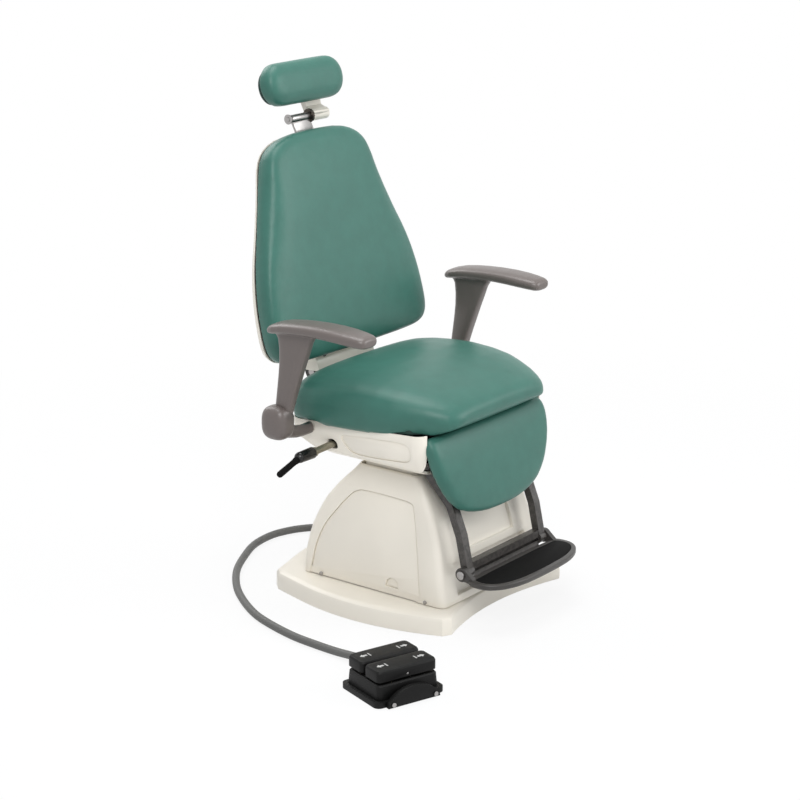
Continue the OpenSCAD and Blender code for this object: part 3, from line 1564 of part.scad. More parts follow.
module ctl_screws() {
    color("gainsboro")
        at_ctl() {
            ctl_screw_holes(ctl_screw_r, ctl_front - ctl_guard_d - seat_gap - cut, ctl_guard_d * 2);
            ctl_screw_holes(ctl_screw_head_r, ctl_front - ctl_guard_d - 2 * seat_gap - 3, 3);
        }
}

floor_plate();
plinth_cover();
slew_ring_fixed();
slew_balls();
slew_ring_turning();
turret_plate();
column_tube();
column_bush();
ram_cylinder();
pump_unit();
oil_tank();
control_box();
column_cover();
cover_screws();
lift_tube();
lift_bush();
ram_rod();
neck_cover();
seat_frame();
seat_pan();
seat_board();
seat_cushion();
recline_motor();
leg_actuator();
arm_shafts();
lock_shaft();
lock_grip();
brake_cam();
hinge_shaft();
back_frame();
back_board();
back_shell();
back_cushion();
hinge_cover();
head_bar();
head_knob();
head_block();
head_ratchet();
head_pins();
head_board();
head_cushion();
arm_right();
arm_left();
leg_frame();
leg_board();
leg_cushion();
leg_rod();
footplate();
foot_mat();
foot_bolts();
mains_inlet();
cable_gland();
foot_cable();
ctl_base();
ctl_body();
ctl_guard();
ctl_screws();
ctl_pivots();
ctl_pedal_seat();
ctl_pedal_back();
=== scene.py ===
"""Ear, nose and throat chair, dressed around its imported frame.

Every piece is built in metres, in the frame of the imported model.
"""

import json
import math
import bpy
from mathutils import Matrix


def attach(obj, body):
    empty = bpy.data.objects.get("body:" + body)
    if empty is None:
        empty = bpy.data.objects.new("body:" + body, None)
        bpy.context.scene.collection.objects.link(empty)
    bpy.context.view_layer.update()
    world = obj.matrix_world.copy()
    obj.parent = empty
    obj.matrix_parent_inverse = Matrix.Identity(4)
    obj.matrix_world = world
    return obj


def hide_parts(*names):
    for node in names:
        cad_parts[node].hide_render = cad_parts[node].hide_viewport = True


bl_info = {
    "name": "Treatment Chair",
    "version": (1, 0, 0),
    "blender": (4, 5, 0),
    "location": "View3D > Sidebar > Chair",
    "description": "Builds a treatment chair with its cushions, covers and foot controller",
    "category": "Object",
}

import bmesh
import bpy
from mathutils import Matrix, Vector

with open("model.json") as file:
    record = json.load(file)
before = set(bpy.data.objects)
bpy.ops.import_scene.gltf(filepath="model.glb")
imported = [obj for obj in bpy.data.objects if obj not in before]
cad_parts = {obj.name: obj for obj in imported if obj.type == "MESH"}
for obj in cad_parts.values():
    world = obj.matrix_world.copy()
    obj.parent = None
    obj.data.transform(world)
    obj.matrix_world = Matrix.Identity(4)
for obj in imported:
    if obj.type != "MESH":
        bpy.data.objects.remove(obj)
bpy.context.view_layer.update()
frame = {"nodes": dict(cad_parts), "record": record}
NODES = frame["nodes"]
MM = 0.001
RECORD = frame["record"]
BODY_OF = {name: body for body, names in RECORD["behaviour"]["bodies"].items() for name in names}
SLOT_OF = {part["node"]: part["material_slot"] for part in RECORD["subparts"]}
BARE_BOARDS = ("back_board", "seat_board")
SAME_POINT = 1e-7


# ---- settings
def colour_of(label, what, default):
    """A colour that a user may change."""
    return bpy.props.FloatVectorProperty(
        name=label, description="Colour of the " + what, subtype="COLOR_GAMMA",
        size=3, min=0, max=1, default=default)


class ChairColours(bpy.types.PropertyGroup):
    """Finishes of the chair, as display colours"""
    vinyl: colour_of("Vinyl", "upholstery", (0.222, 0.42, 0.375))
    cream: colour_of("Covers", "moulded covers", (0.945, 0.922, 0.872))
    taupe: colour_of("Arms", "arms", (0.405, 0.372, 0.358))
    paint: colour_of("Frame paint", "leg rest's frame", (0.225, 0.215, 0.205))
    black: colour_of("Black parts", "foot controller", (0.04, 0.04, 0.04))
    cable: colour_of("Cable", "foot controller's cable", (0.36, 0.36, 0.35))


class ChairSizes(bpy.types.PropertyGroup):
    """Sizes that are free in the dressing"""
    remesh: bpy.props.FloatProperty(
        name="Cloth grid", description="Edge length of the vinyl before it is inflated",
        subtype="DISTANCE", unit="LENGTH", default=0.0058, min=0.0055, max=0.012)
    swell: bpy.props.FloatProperty(
        name="Swell", description="Furthest that inflated vinyl may move",
        subtype="DISTANCE", unit="LENGTH", default=0.006, min=0.0, max=0.03)
    cable_d: bpy.props.FloatProperty(
        name="Cable diameter", description="Diameter of the foot controller's cable",
        subtype="DISTANCE", unit="LENGTH", default=0.018, min=0.01, max=0.02)


# ---- modelling tools
def colours():
    return bpy.context.scene.chair_colours


def sizes():
    return bpy.context.scene.chair_sizes


def only(obj):
    """Selects one object and makes it active."""
    if bpy.context.object and bpy.context.object.mode != "OBJECT":
        bpy.ops.object.mode_set(mode="OBJECT")
    bpy.ops.object.select_all(action="DESELECT")
    obj.select_set(True)
    bpy.context.view_layer.objects.active = obj
    return obj


def modifier(obj, kind, **values):
    """Adds one modifier to an object and applies it."""
    only(obj)
    bpy.ops.object.modifier_add(type=kind)
    mod = obj.modifiers[-1]
    for key, value in values.items():
        setattr(mod, key, value)
    bpy.ops.object.modifier_apply(modifier=mod.name)
    return obj


def merged(obj, distance=1e-5):
    """Merges points that lie together and turns all faces outward."""
    only(obj)
    bpy.ops.object.mode_set(mode="EDIT")
    bpy.ops.mesh.select_all(action="SELECT")
    bpy.ops.mesh.remove_doubles(threshold=distance)
    bpy.ops.mesh.normals_make_consistent(inside=False)
    bpy.ops.object.mode_set(mode="OBJECT")
    return obj


def linked(name, data):
    """A new object in the scene for a mesh."""
    obj = bpy.data.objects.new(name, data)
    bpy.context.scene.collection.objects.link(obj)
    return obj


def copy_of(node, name):
    """A merged copy of a CAD node's mesh, as a new object."""
    obj = linked(name, NODES[node].data.copy())
    obj.data.materials.clear()
    return merged(obj)


def flat_faces(obj, angle=0.5):
    """Joins triangles that lie in one plane."""
    only(obj)
    bpy.ops.object.mode_set(mode="EDIT")
    bpy.ops.mesh.select_all(action="SELECT")
    bpy.ops.mesh.dissolve_limited(angle_limit=math.radians(angle))
    bpy.ops.object.mode_set(mode="OBJECT")
    return obj


def at_origin(obj):
    """Applies an object's place, turn and scale to its mesh."""
    only(obj)
    bpy.ops.object.transform_apply(location=True, rotation=True, scale=True)
    return obj


def block(name, low, high):
    """A box between two corners."""
    low, high = Vector(low), Vector(high)
    bpy.ops.object.select_all(action="DESELECT")
    bpy.ops.mesh.primitive_cube_add(size=1, location=(low + high) / 2)
    obj = bpy.context.object
    obj.name = name
    obj.scale = high - low
    return at_origin(obj)


def drum(name, a, b, radius, sides=48, radius_end=None):
    """A cylinder or cone from point a to point b."""
    a, b = Vector(a), Vector(b)
    bpy.ops.object.select_all(action="DESELECT")
    bpy.ops.mesh.primitive_cone_add(
        vertices=sides, radius1=radius, radius2=radius if radius_end is None else radius_end,
        depth=(b - a).length, location=(a + b) / 2,
        rotation=(b - a).to_track_quat("Z", "Y").to_euler())
    obj = bpy.context.object
    obj.name = name
    return at_origin(obj)


def joined(name, pieces):
    """One object from several, which are used up."""
    bpy.ops.object.select_all(action="DESELECT")
    for piece in pieces:
        piece.select_set(True)
    bpy.context.view_layer.objects.active = pieces[0]
    bpy.ops.object.join()
    obj = bpy.context.object
    obj.name = name
    return obj


def carve(obj, cutter, operation="DIFFERENCE"):
    """Cuts one object by another, which is used up."""
    modifier(obj, "BOOLEAN", object=cutter, operation=operation, solver="EXACT")
    bpy.data.objects.remove(cutter)
    return obj


def new_mesh(name, points, faces):
    """An object from points in millimetres and their faces, normals outward."""
    data = bpy.data.meshes.new(name)
    data.from_pydata([Vector(p) * MM for p in points], [], faces)
    return merged(linked(name, data), SAME_POINT)


def stack(name, rings):
    """A closed solid through rings of equally many points, in millimetres."""
    n = len(rings[0])
    faces = [[r * n + i, r * n + (i + 1) % n, (r + 1) * n + (i + 1) % n, (r + 1) * n + i]
             for r in range(len(rings) - 1) for i in range(n)]
    faces += [list(range(n))[::-1], [(len(rings) - 1) * n + i for i in range(n)]]
    return new_mesh(name, [p for ring in rings for p in ring], faces)


def slab(name, outline, axis, low, high):
    """A flat outline, in millimetres, given a thickness along an axis."""
    def at(p, level):
        q = list(p)
        q.insert(axis, level)
        return q
    return stack(name, [[at(p, low) for p in outline], [at(p, high) for p in outline]])


def softened(outline, share=0.25):
    """An outline with each of its corners cut back."""
    return [tuple(a + (b - a) * t for a, b in zip(p, q))
            for p, q in zip(outline, outline[1:] + outline[:1]) for t in (share, 1 - share)]


def circle(sides):
    """The cosines and sines of equal steps around a circle."""
    turns = [2 * math.pi * k / sides for k in range(sides)]
    return [(math.cos(a), math.sin(a)) for a in turns]


def box_ring(half_w, y0, y1, r, steps=8):
    """A rectangle with round corners around the middle of X, as (x, y) points."""
    ring = []
    for quarter in range(4):
        across = half_w - r if quarter in (0, 3) else r - half_w
        along = y1 - r if quarter < 2 else y0 + r
        for i in range(steps + 1):
            a = math.pi / 2 * (quarter + i / steps)
            ring.append((across + r * math.cos(a), along + r * math.sin(a)))
    return ring


def place(obj, matrix):
    """Moves the mesh of an object by a matrix in metres."""
    obj.data.transform(matrix)
    return obj


def bevelled(obj, width, segments=2, angle=32.0):
    """Rounds off the edges that are sharper than an angle."""
    return modifier(obj, "BEVEL", width=width, segments=segments, limit_method="ANGLE",
                    angle_limit=math.radians(angle))


def inlay(obj, outline, axis, low, high, core):
    """Sinks an outlined panel into a wall, down to a smaller core, given by its rings."""
    cutter = carve(slab("panel_cutter", outline, axis, low, high), stack("core", core))
    return carve(obj, cutter)


def refined(node, name, width=0.001, segments=2, angle=32.0, material=None):
    """A node's own form with its edges rounded off."""
    obj = bevelled(flat_faces(copy_of(node, name)), width, segments, angle)
    slot = SLOT_OF[node]
    return settle(obj, BODY_OF[node], [node], slot, angle, material)


def settle(obj, body, nodes, slot, angle=35.0, material=None):
    """Attaches a finished piece to its body, hides the nodes it stands in for, and gives it its
    slot's finish or another.
    """
    at_origin(obj)
    bpy.ops.object.shade_smooth_by_angle(angle=math.radians(angle))
    obj.data.materials.clear()
    obj.data.materials.append(material or finish(slot))
    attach(obj, body)
    if nodes:
        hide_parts(*nodes)
    return obj


def dress(node, material):
    """Gives a CAD node its finish."""
    data = NODES[node].data
    data.materials.clear()
    data.materials.append(material)


# ---- finishes
def linear(display):
    """A display colour as a shader socket takes it."""
    return tuple(c / 12.92 if c <= 0.04045 else ((c + 0.055) / 1.055) ** 2.4
                 for c in display) + (1.0,)


def add_node(tree, kind, values=None, **fields):
    """A shader node with its settings; a socket takes a value or another node's output."""
    made = tree.nodes.new(kind)
    for key, value in fields.items():
        setattr(made, key, value)
    for key, value in (values or {}).items():
        if isinstance(value, bpy.types.NodeSocket):
            tree.links.new(value, made.inputs[key])
        else:
            made.inputs[key].default_value = value
    return made


def maths(tree, operation, a, b):
    """The output of a math node, between outputs or plain numbers."""
    return add_node(tree, "ShaderNodeMath", {0: a, 1: b}, operation=operation).outputs[0]


def group(name, inputs, outputs):
    """A shader node group: its tree, its incoming values and the spot on the piece."""
    tree = bpy.data.node_groups.new(name, "ShaderNodeTree")
    for label, value in inputs.items():
        kind = "NodeSocketVector" if isinstance(value, tuple) else "NodeSocketFloat"
        socket = tree.interface.new_socket(name=label, in_out="INPUT", socket_type=kind)
        socket.default_value = value
    for label in outputs:
        tree.interface.new_socket(name=label, in_out="OUTPUT", socket_type="NodeSocketFloat")
    into = tree.nodes.new("NodeGroupInput").outputs
    return tree, into, tree.nodes.new("ShaderNodeTexCoord").outputs["Object"]


def leather_grain_group():
    """Fine pebbled grain with soft creases, as a height and a mask."""
    tree, into, spot = group("Leather Grain", {"Scale": 420.0, "Crease": 0.3}, ("Height", "Mask"))
    cells = add_node(tree, "ShaderNodeTexVoronoi", {
        "Randomness": 0.9, "Vector": spot, "Scale": into["Scale"]}, feature="DISTANCE_TO_EDGE")
    cloud = add_node(tree, "ShaderNodeTexNoise", {
        "Scale": 26.0, "Detail": 4.0, "Roughness": 0.6, "Vector": spot}).outputs["Fac"]
    pebble = maths(tree, "MINIMUM", maths(tree, "MULTIPLY", cells.outputs["Distance"], 3.0), 1.0)
    crease = maths(tree, "MULTIPLY", cloud, into["Crease"])
    add_node(tree, "NodeGroupOutput", {"Height": maths(tree, "ADD", pebble, crease), "Mask": cloud})
    return tree


def moulding_group():
    """Fine spark-eroded texture of moulded plastic with a slow unevenness."""
    tree, into, spot = group("Moulded Texture", {"Scale": 900.0, "Wave": 6.0}, ("Height", "Slow"))
    fine = add_node(tree, "ShaderNodeTexNoise", {
        "Detail": 3.0, "Roughness": 0.7, "Vector": spot, "Scale": into["Scale"]})
    slow = add_node(tree, "ShaderNodeTexNoise", {
        "Detail": 2.0, "Roughness": 0.5, "Vector": spot, "Scale": into["Wave"]})
    add_node(tree, "NodeGroupOutput", {"Height": fine.outputs["Fac"], "Slow": slow.outputs["Fac"]})
    return tree


def edge_wear_group():
    """Where an edge is sharp enough to be rubbed, broken up by noise."""
    tree, into, spot = group("Edge Wear", {"Start": 0.6, "Width": 0.2}, ("Mask",))
    sharp = tree.nodes.new("ShaderNodeNewGeometry").outputs["Pointiness"]
    noise = add_node(tree, "ShaderNodeTexNoise", {
        "Scale": 90.0, "Detail": 5.0, "Roughness": 0.7, "Vector": spot}).outputs["Fac"]
    ramp = add_node(tree, "ShaderNodeMath", {
        0: maths(tree, "SUBTRACT", sharp, into["Start"]), 1: into["Width"]},
        operation="DIVIDE", use_clamp=True)
    spots = maths(tree, "GREATER_THAN", noise, 0.5)
    add_node(tree, "NodeGroupOutput", {"Mask": maths(tree, "MULTIPLY", ramp.outputs[0], spots)})
    return tree


def brushed_group():
    """Fine lines along one axis, as a height and a roughness."""
    tree, into, spot = group(
        "Brushed Lines", {"Across": (900.0, 900.0, 12.0)}, ("Height", "Roughness"))
    stretch = add_node(
        tree, "ShaderNodeVectorMath", {0: spot, 1: into["Across"]}, operation="MULTIPLY")
    noise = add_node(tree, "ShaderNodeTexNoise", {
        "Scale": 1.0, "Detail": 3.0, "Vector": stretch.outputs[0]}).outputs["Fac"]
    spread = add_node(tree, "ShaderNodeMapRange", {"Value": noise, "To Min": 0.22, "To Max": 0.42})
    add_node(tree, "NodeGroupOutput", {"Height": noise, "Roughness": spread.outputs["Result"]})
    return tree


GROUPS = {}
FINISHES = {}


def principled(name, display, **sockets):
    """A material of one Principled shader, its node tree and the shader."""
    material = bpy.data.materials.new(name)
    material.use_nodes = True
    shader = material.node_tree.nodes["Principled BSDF"]
    shader.inputs["Base Color"].default_value = linear(display)
    for key, value in sockets.items():
        shader.inputs[key.replace("_", " ")].default_value = value
    return material, material.node_tree, shader


def place_group(tree, maker, **values):
    """The outputs of a node group in a material; the group is made at its first use."""
    if maker not in GROUPS:
        GROUPS[maker] = maker()
    return add_node(tree, "ShaderNodeGroup", values, node_tree=GROUPS[maker]).outputs


def bump(tree, shader, height, strength, distance):
    """Raises the surface by a height, through the shader's normal."""
    raised = add_node(tree, "ShaderNodeBump", {
        "Strength": strength, "Distance": distance, "Height": height})
    tree.links.new(raised.outputs["Normal"], shader.inputs["Normal"])


def two_colours(tree, shader, mask, display, other):
    """Mixes the base colour from two colours by a mask."""
    mix = add_node(tree, "ShaderNodeMix", {
        "Factor": mask, "A": linear(display), "B": linear(other)}, data_type="RGBA")
    tree.links.new(mix.outputs["Result"], shader.inputs["Base Color"])


def tint(tree, shader, noise, base, darker, lighter):
    """Moves the base colour between two shades of it by a noise."""
    spread = add_node(tree, "ShaderNodeMapRange", {
        "Value": noise, "From Min": 0.3, "From Max": 0.7}).outputs["Result"]
    two_colours(tree, shader, spread, shade(base, darker), shade(base, lighter))


def shade(display, factor):
    """A display colour made darker or lighter."""
    return tuple(min(1.0, c * factor) for c in display)


def vinyl(base):
    """Soft upholstery vinyl with a pebbled grain."""
    material, tree, shader = principled(
        "green vinyl", base, Roughness=0.4, Specular_IOR_Level=0.34,
        Coat_Weight=0.08, Coat_Roughness=0.3)
    grain = place_group(tree, leather_grain_group, Scale=520.0, Crease=0.4)
    tint(tree, shader, grain["Mask"], base, 0.97, 1.03)
    bump(tree, shader, grain["Height"], 0.12, 0.0006)
    return material


def moulded(base, name, roughness, strength, scale, gloss):
    """Moulded plastic or rubber with a fine texture."""
    material, tree, shader = principled(name, base, Roughness=roughness, Specular_IOR_Level=gloss)
    skin = place_group(tree, moulding_group, Scale=scale)
    tint(tree, shader, skin["Slow"], base, 0.985, 1.015)
    bump(tree, shader, skin["Height"], strength, 0.0004)
    return material


def painted(base, name, worn):
    """Painted steel, rubbed along its edges."""
    material, tree, shader = principled(name, base, Roughness=0.38, Specular_IOR_Level=0.5)
    skin = place_group(tree, moulding_group, Scale=500.0)
    wear = place_group(tree, edge_wear_group)
    two_colours(tree, shader, wear["Mask"], base, worn)
    bump(tree, shader, skin["Height"], 0.12, 0.0004)
    return material


def brushed(base, name, across):
    """Bare steel with fine lines, closer or wider apart along each axis."""
    material, tree, shader = principled(name, base, Metallic=1.0)
    lines = place_group(tree, brushed_group, Across=across)
    tree.links.new(lines["Roughness"], shader.inputs["Roughness"])
    bump(tree, shader, lines["Height"], 0.08, 0.0003)
    return material


def plywood(base):
    """Plywood with its grain along Z."""
    material, tree, shader = principled("plywood", base, Roughness=0.7)
    lines = place_group(tree, brushed_group, Across=(6.0, 6.0, 500.0))
    tint(tree, shader, lines["Height"], base, 0.8, 1.1)
    return material


# Name of the material, roughness, strength and scale of its texture, gloss
MOULDINGS = {
    "cream_plastic": ("cream moulding", 0.34, 0.06, 900.0, 0.45),
    # The neck's moulding is the covers' cream darkened as painted shade, for the shade under the
    # seat pan
    "shaded_cream": ("neck moulding painted shade", 0.45, 0.06, 900.0, 0.45),
    "taupe_plastic": ("taupe moulding", 0.34, 0.2, 700.0, 0.6),
    "black_plastic": ("black moulding", 0.5, 0.35, 600.0, 0.22),
    "bearing_plastic": ("bearing plastic", 0.5, 0.1, 900.0, 0.45),
    "tank_plastic": ("tank plastic", 0.45, 0.1, 900.0, 0.45),
    "pad_backing": ("pad backing", 0.7, 0.3, 500.0, 0.45),
    "gloss_black": ("polished black", 0.2, 0.05, 500.0, 0.45),
    "marks": ("printed marks", 0.5, 0.1, 700.0, 0.45),
    "black_rubber": ("black rubber", 0.8, 0.5, 500.0, 0.15),
    "cable_rubber": ("cable sheath", 0.5, 0.2, 400.0, 0.45),
}
PAINTS = {"leg_paint": "leg frame paint", "painted_steel": "frame paint"}
# Name of the material, lines to a metre across each axis
STEELS = {
    "bright_steel": ("bright steel", (900.0, 900.0, 12.0)),
    "dark_steel": ("dark steel", (900.0, 900.0, 12.0)),
    "chrome": ("polished steel", (400.0, 400.0, 400.0)),
}


def display_colour(name):
    """The display colour of a finish."""
    c = colours()
    return {
        "green_vinyl": tuple(c.vinyl),
        "pad_backing": shade(tuple(c.vinyl), 0.55),
        "cream_plastic": tuple(c.cream),
        # painted shade: the covers' cream darkened for the neck, which sits under the seat pan
        "shaded_cream": shade(tuple(c.cream), 0.88),
        "taupe_plastic": tuple(c.taupe),
        "leg_paint": tuple(c.paint),
        "leg_paint_rubbed": shade(tuple(c.paint), 1.25),
        "black_plastic": tuple(c.black),
        "cable_rubber": tuple(c.cable),
        "bearing_plastic": (0.85, 0.83, 0.74),
        "tank_plastic": (0.8, 0.8, 0.74),
        "painted_steel": (0.16, 0.155, 0.15),
        "painted_steel_rubbed": (0.3, 0.3, 0.3),
        "bright_steel": (0.66, 0.65, 0.645),
        "dark_steel": (0.3, 0.28, 0.26),
        "chrome": (0.6, 0.58, 0.52),
        "plywood": (0.74, 0.6, 0.42),
        "gloss_black": (0.07, 0.07, 0.07),
        "marks": (0.75, 0.75, 0.74),
        "black_rubber": (0.02, 0.019, 0.018),
    }[name]


def finish(name):
    """The material of a slot or a special finish, made once."""
    if name not in FINISHES:
        base = display_colour(name)
        if name in MOULDINGS:
            material = moulded(base, *MOULDINGS[name])
        elif name in STEELS:
            material = brushed(base, *STEELS[name])
        elif name in PAINTS:
            material = painted(base, PAINTS[name], display_colour(name + "_rubbed"))
        else:
            material = {"green_vinyl": vinyl, "plywood": plywood}[name](base)
        FINISHES[name] = material
    return FINISHES[name]


# ---- stage
CAMERA_AT = Vector((-3.883, -2.889, 1.895))
CAMERA_AZIMUTH = math.radians(-52.66)
CAMERA_DROP = math.radians(16.63)
CAMERA_LENS = 99.0
# Name, place, point it faces, width and power
LAMPS = [
    ("key lamp", (-2.6, -2.2, 3.4), (0, 0, 0.5), 2.2, 84),
    ("fill lamp", (2.2, -3.4, 2.2), (0, 0, 0.5), 2.6, 62),
    ("top lamp", (0.1, 0.3, 3.6), (0, 0, 0.5), 2.2, 54),
    ("rear lamp", (0.5, 3.2, 3.0), (0, 0, 0.6), 2.4, 40)]
SKY, SKY_STRENGTH = (0.93, 0.95, 1.0, 1.0), 0.42
WHITE = (1.0, 1.0, 1.0, 1.0)
FLOOR_SIZE, FLOOR_DROP = 60, 0.0005
# The floor's own light: from how far to how far it rises, and between which strengths
FLOOR_GLOW = {"From Min": 0.5, "From Max": 2.2, "To Min": 0.86, "To Max": 1.0}


def lamp(name, at, toward, width, power):
    """A round area lamp that faces a point."""
    bpy.ops.object.light_add(type="AREA", location=at)
    obj = bpy.context.object
    obj.name = name
    obj.data.shape = "DISK"
    obj.data.size = width
    obj.data.energy = power
    obj.rotation_euler = (Vector(toward) - Vector(at)).to_track_quat("-Z", "Y").to_euler()


def mixed_shaders(tree, share, first, second, surface):
    """Mixes two shaders by a share into the surface of an output."""
    mix = add_node(tree, "ShaderNodeMixShader", {0: share, 1: first, 2: second})
    tree.links.new(mix.outputs[0], surface)


class CHAIR_OT_stage(bpy.types.Operator):
    """Adds the camera, the lamps, the sky and the floor"""
    bl_idname = "chair.stage"
    bl_label = "Stage"

    def execute(self, context):
        scene = context.scene
        level, rise = math.cos(CAMERA_DROP), math.sin(CAMERA_DROP)
        ahead = Vector((level * math.sin(-CAMERA_AZIMUTH), level * math.cos(-CAMERA_AZIMUTH),
                        -rise))
        bpy.ops.object.camera_add(location=CAMERA_AT,
                                  rotation=ahead.to_track_quat("-Z", "Y").to_euler())
        camera = context.object
        camera.data.lens = CAMERA_LENS
        camera.data.sensor_width = 36.0
        camera.data.clip_end = 50.0
        scene.camera = camera
        scene.view_settings.view_transform = "Standard"
        for row in LAMPS:
            lamp(*row)

        world = bpy.data.worlds.new("studio")
        scene.world = world
        world.use_nodes = True
        tree = world.node_tree
        tree.nodes.clear()
        path = tree.nodes.new("ShaderNodeLightPath").outputs
        seen = maths(tree, "MAXIMUM", path["Is Camera Ray"],
                     maths(tree, "MAXIMUM", path["Is Glossy Ray"], path["Is Transmission Ray"]))
        sky = add_node(tree, "ShaderNodeBackground", {"Color": SKY, "Strength": SKY_STRENGTH})
        white = add_node(tree, "ShaderNodeBackground", {"Color": WHITE, "Strength": 1.0})
        out = tree.nodes.new("ShaderNodeOutputWorld")
        mixed_shaders(tree, seen, sky.outputs[0], white.outputs[0], out.inputs["Surface"])

        bpy.ops.mesh.primitive_plane_add(size=FLOOR_SIZE, location=(0, 0, -FLOOR_DROP))
        floor = context.object
        floor.name = "studio_floor"
        material, tree, shader = principled("studio floor", (0.93, 0.93, 0.93), Roughness=0.9,
                                            Specular_IOR_Level=0.0)
        glow = add_node(tree, "ShaderNodeEmission", {"Color": WHITE, "Strength": 1.0})
        path = tree.nodes.new("ShaderNodeLightPath").outputs
        spot = tree.nodes.new("ShaderNodeTexCoord").outputs["Object"]
        far = add_node(tree, "ShaderNodeVectorMath", {0: spot}, operation="LENGTH")
        fade = add_node(tree, "ShaderNodeMapRange", {"Value": far.outputs["Value"], **FLOOR_GLOW})
        seen = maths(tree, "MAXIMUM", path["Is Camera Ray"], path["Is Glossy Ray"])
        mixed_shaders(tree, maths(tree, "MULTIPLY", seen, fade.outputs["Result"]),
                      shader.outputs[0], glow.outputs[0],
                      tree.nodes["Material Output"].inputs["Surface"])
        floor.data.materials.append(material)
        return {"FINISHED"}


# ---- cable
CABLE_ROUTE = [
    (140, 285, 20), (140, 325, 20), (141, 362, 16), (137, 398, 11), (124, 428, 9), (99, 451, 9),
    (62, 471, 9), (9, 483, 9), (-62, 474, 9), (-134, 443, 9), (-222, 392, 9), (-300, 324, 9),
    (-357, 254, 9), (-404, 177, 9), (-430, 108, 9), (-450, 28, 9), (-457, -36, 9), (-462, -100, 10),
    (-469, -150, 15), (-479, -191, 21), (-493, -224.3, 23), (-509.2, -261.6, 22)]
CABLE_STEPS = 8
CABLE_SIDES = 20


def smooth_route(points, steps):
    """A curve through the points, with steps to a stretch."""
    p = [Vector(q) * MM for q in points]
    line = []
    for i in range(len(p) - 1):
        a, b, c, d = p[max(i - 1, 0)], p[i], p[i + 1], p[min(i + 2, len(p) - 1)]
        for s in range(steps):
            t = s / steps
            line.append(0.5 * (2 * b + t * (c - a) + t * t * (2 * a - 5 * b + 4 * c - d)
                               + t ** 3 * (3 * b - a - 3 * c + d)))
    return line + [p[-1]]


def tube_along(name, line, radius, sides):
    """A closed tube along a line of points, with a UV map along and around it."""
    mesh = bmesh.new()
    layer = mesh.loops.layers.uv.new("UVMap")
    rings, far = [], [0.0]
    turns = circle(sides)
    for i, point in enumerate(line):
        ahead = (line[min(i + 1, len(line) - 1)] - line[max(i - 1, 0)]).normalized()
        side = ahead.cross(Vector((0, 0, 1))).normalized()
        up = side.cross(ahead)
        rings.append([mesh.verts.new(point + radius * (side * c + up * s)) for c, s in turns])
        if i:
            far.append(far[-1] + (point - line[i - 1]).length)
    for i in range(len(rings) - 1):
        for k in range(sides):
            n = (k + 1) % sides
            here, after = rings[i], rings[i + 1]
            face = mesh.faces.new((here[k], here[n], after[n], after[k]))
            for loop, uv in zip(face.loops, ((k, i), (k + 1, i), (k + 1, i + 1), (k, i + 1))):
                loop[layer].uv = (uv[0] / sides, far[uv[1]])
    mesh.faces.new(rings[0][::-1])
    mesh.faces.new(rings[-1])
    bmesh.ops.recalc_face_normals(mesh, faces=mesh.faces)
    data = bpy.data.meshes.new(name)
    mesh.to_mesh(data)
    mesh.free()
    return linked(name, data)


class CHAIR_OT_cable(bpy.types.Operator):
    """Lays the foot controller's cable from the plinth to the controller"""
    bl_idname = "chair.cable"
    bl_label = "Foot cable"

    def execute(self, context):
        line = smooth_route(CABLE_ROUTE, CABLE_STEPS)
        cable = tube_along("foot_cable_sheath", line, sizes().cable_d / 2, CABLE_SIDES)
        settle(cable, "base", ["foot_cable"], "cable_rubber", 60)
        return {"FINISHED"}


# ---- upholstery
VINYL_CLOTH = {"use_pressure": True, "quality": 5, "mass": 0.3, "tension_stiffness": 25,
               "compression_stiffness": 25, "shear_stiffness": 12, "bending_stiffness": 2}
CLOTH_FRAMES = 20
ROUNDS_BEFORE, ROUNDS_AFTER = 3, 4


def inflate(obj, pressure, cap):
    """Blows the vinyl up a little with Cloth, and holds how far a point may move."""
    start = [v.co.copy() for v in obj.data.vertices]
    only(obj)
    bpy.ops.object.modifier_add(type="CLOTH")
    cloth = obj.modifiers[-1]
    for key, value in VINYL_CLOTH.items():
        setattr(cloth.settings, key, value)
    cloth.settings.uniform_pressure_force = pressure
    cloth.settings.effector_weights.gravity = 0
    cloth.collision_settings.use_collision = False
    scene = bpy.context.scene
    for number in range(1, CLOTH_FRAMES + 1):
        scene.frame_set(number)
    only(obj)
    bpy.ops.object.modifier_apply(modifier=cloth.name)
    for vertex, before in zip(obj.data.vertices, start):
        move = vertex.co - before
        if move.length > cap:
            vertex.co = before + move * (cap / move.length)
    scene.frame_set(1)
    return obj


def remeshed(obj, grid, rounds):
    """One even skin around an object's parts, smoothed."""
    obj.data.remesh_voxel_size = grid
    only(obj)
    bpy.ops.object.voxel_remesh()
    return modifier(obj, "SMOOTH", factor=0.5, iterations=rounds)


def pad(name, source, body, shrink, pressure, form=None):
    """A cushion: the CAD form, remeshed, inflated and smoothed."""
    obj = remeshed(copy_of(source, name), sizes().remesh, ROUNDS_BEFORE)
    normals = [v.normal.copy() for v in obj.data.vertices]
    for vertex, normal in zip(obj.data.vertices, normals):
        vertex.co -= normal * shrink
    inflate(obj, pressure, sizes().swell)
    if form:
        for vertex in obj.data.vertices:
            vertex.co = form(vertex.co)
    modifier(obj, "SMOOTH", factor=0.5, iterations=ROUNDS_AFTER)
    modifier(obj, "SUBSURF", levels=1, render_levels=1)
    settle(obj, body, [source], "green_vinyl", 60)
    return obj


def share_of(value, low, high):
    """How far a value is from low to high, from 0 to 1."""
    return min(1.0, max(0.0, (value - low) / (high - low)))


SEAT_SLOPE = math.tan(math.radians(3))
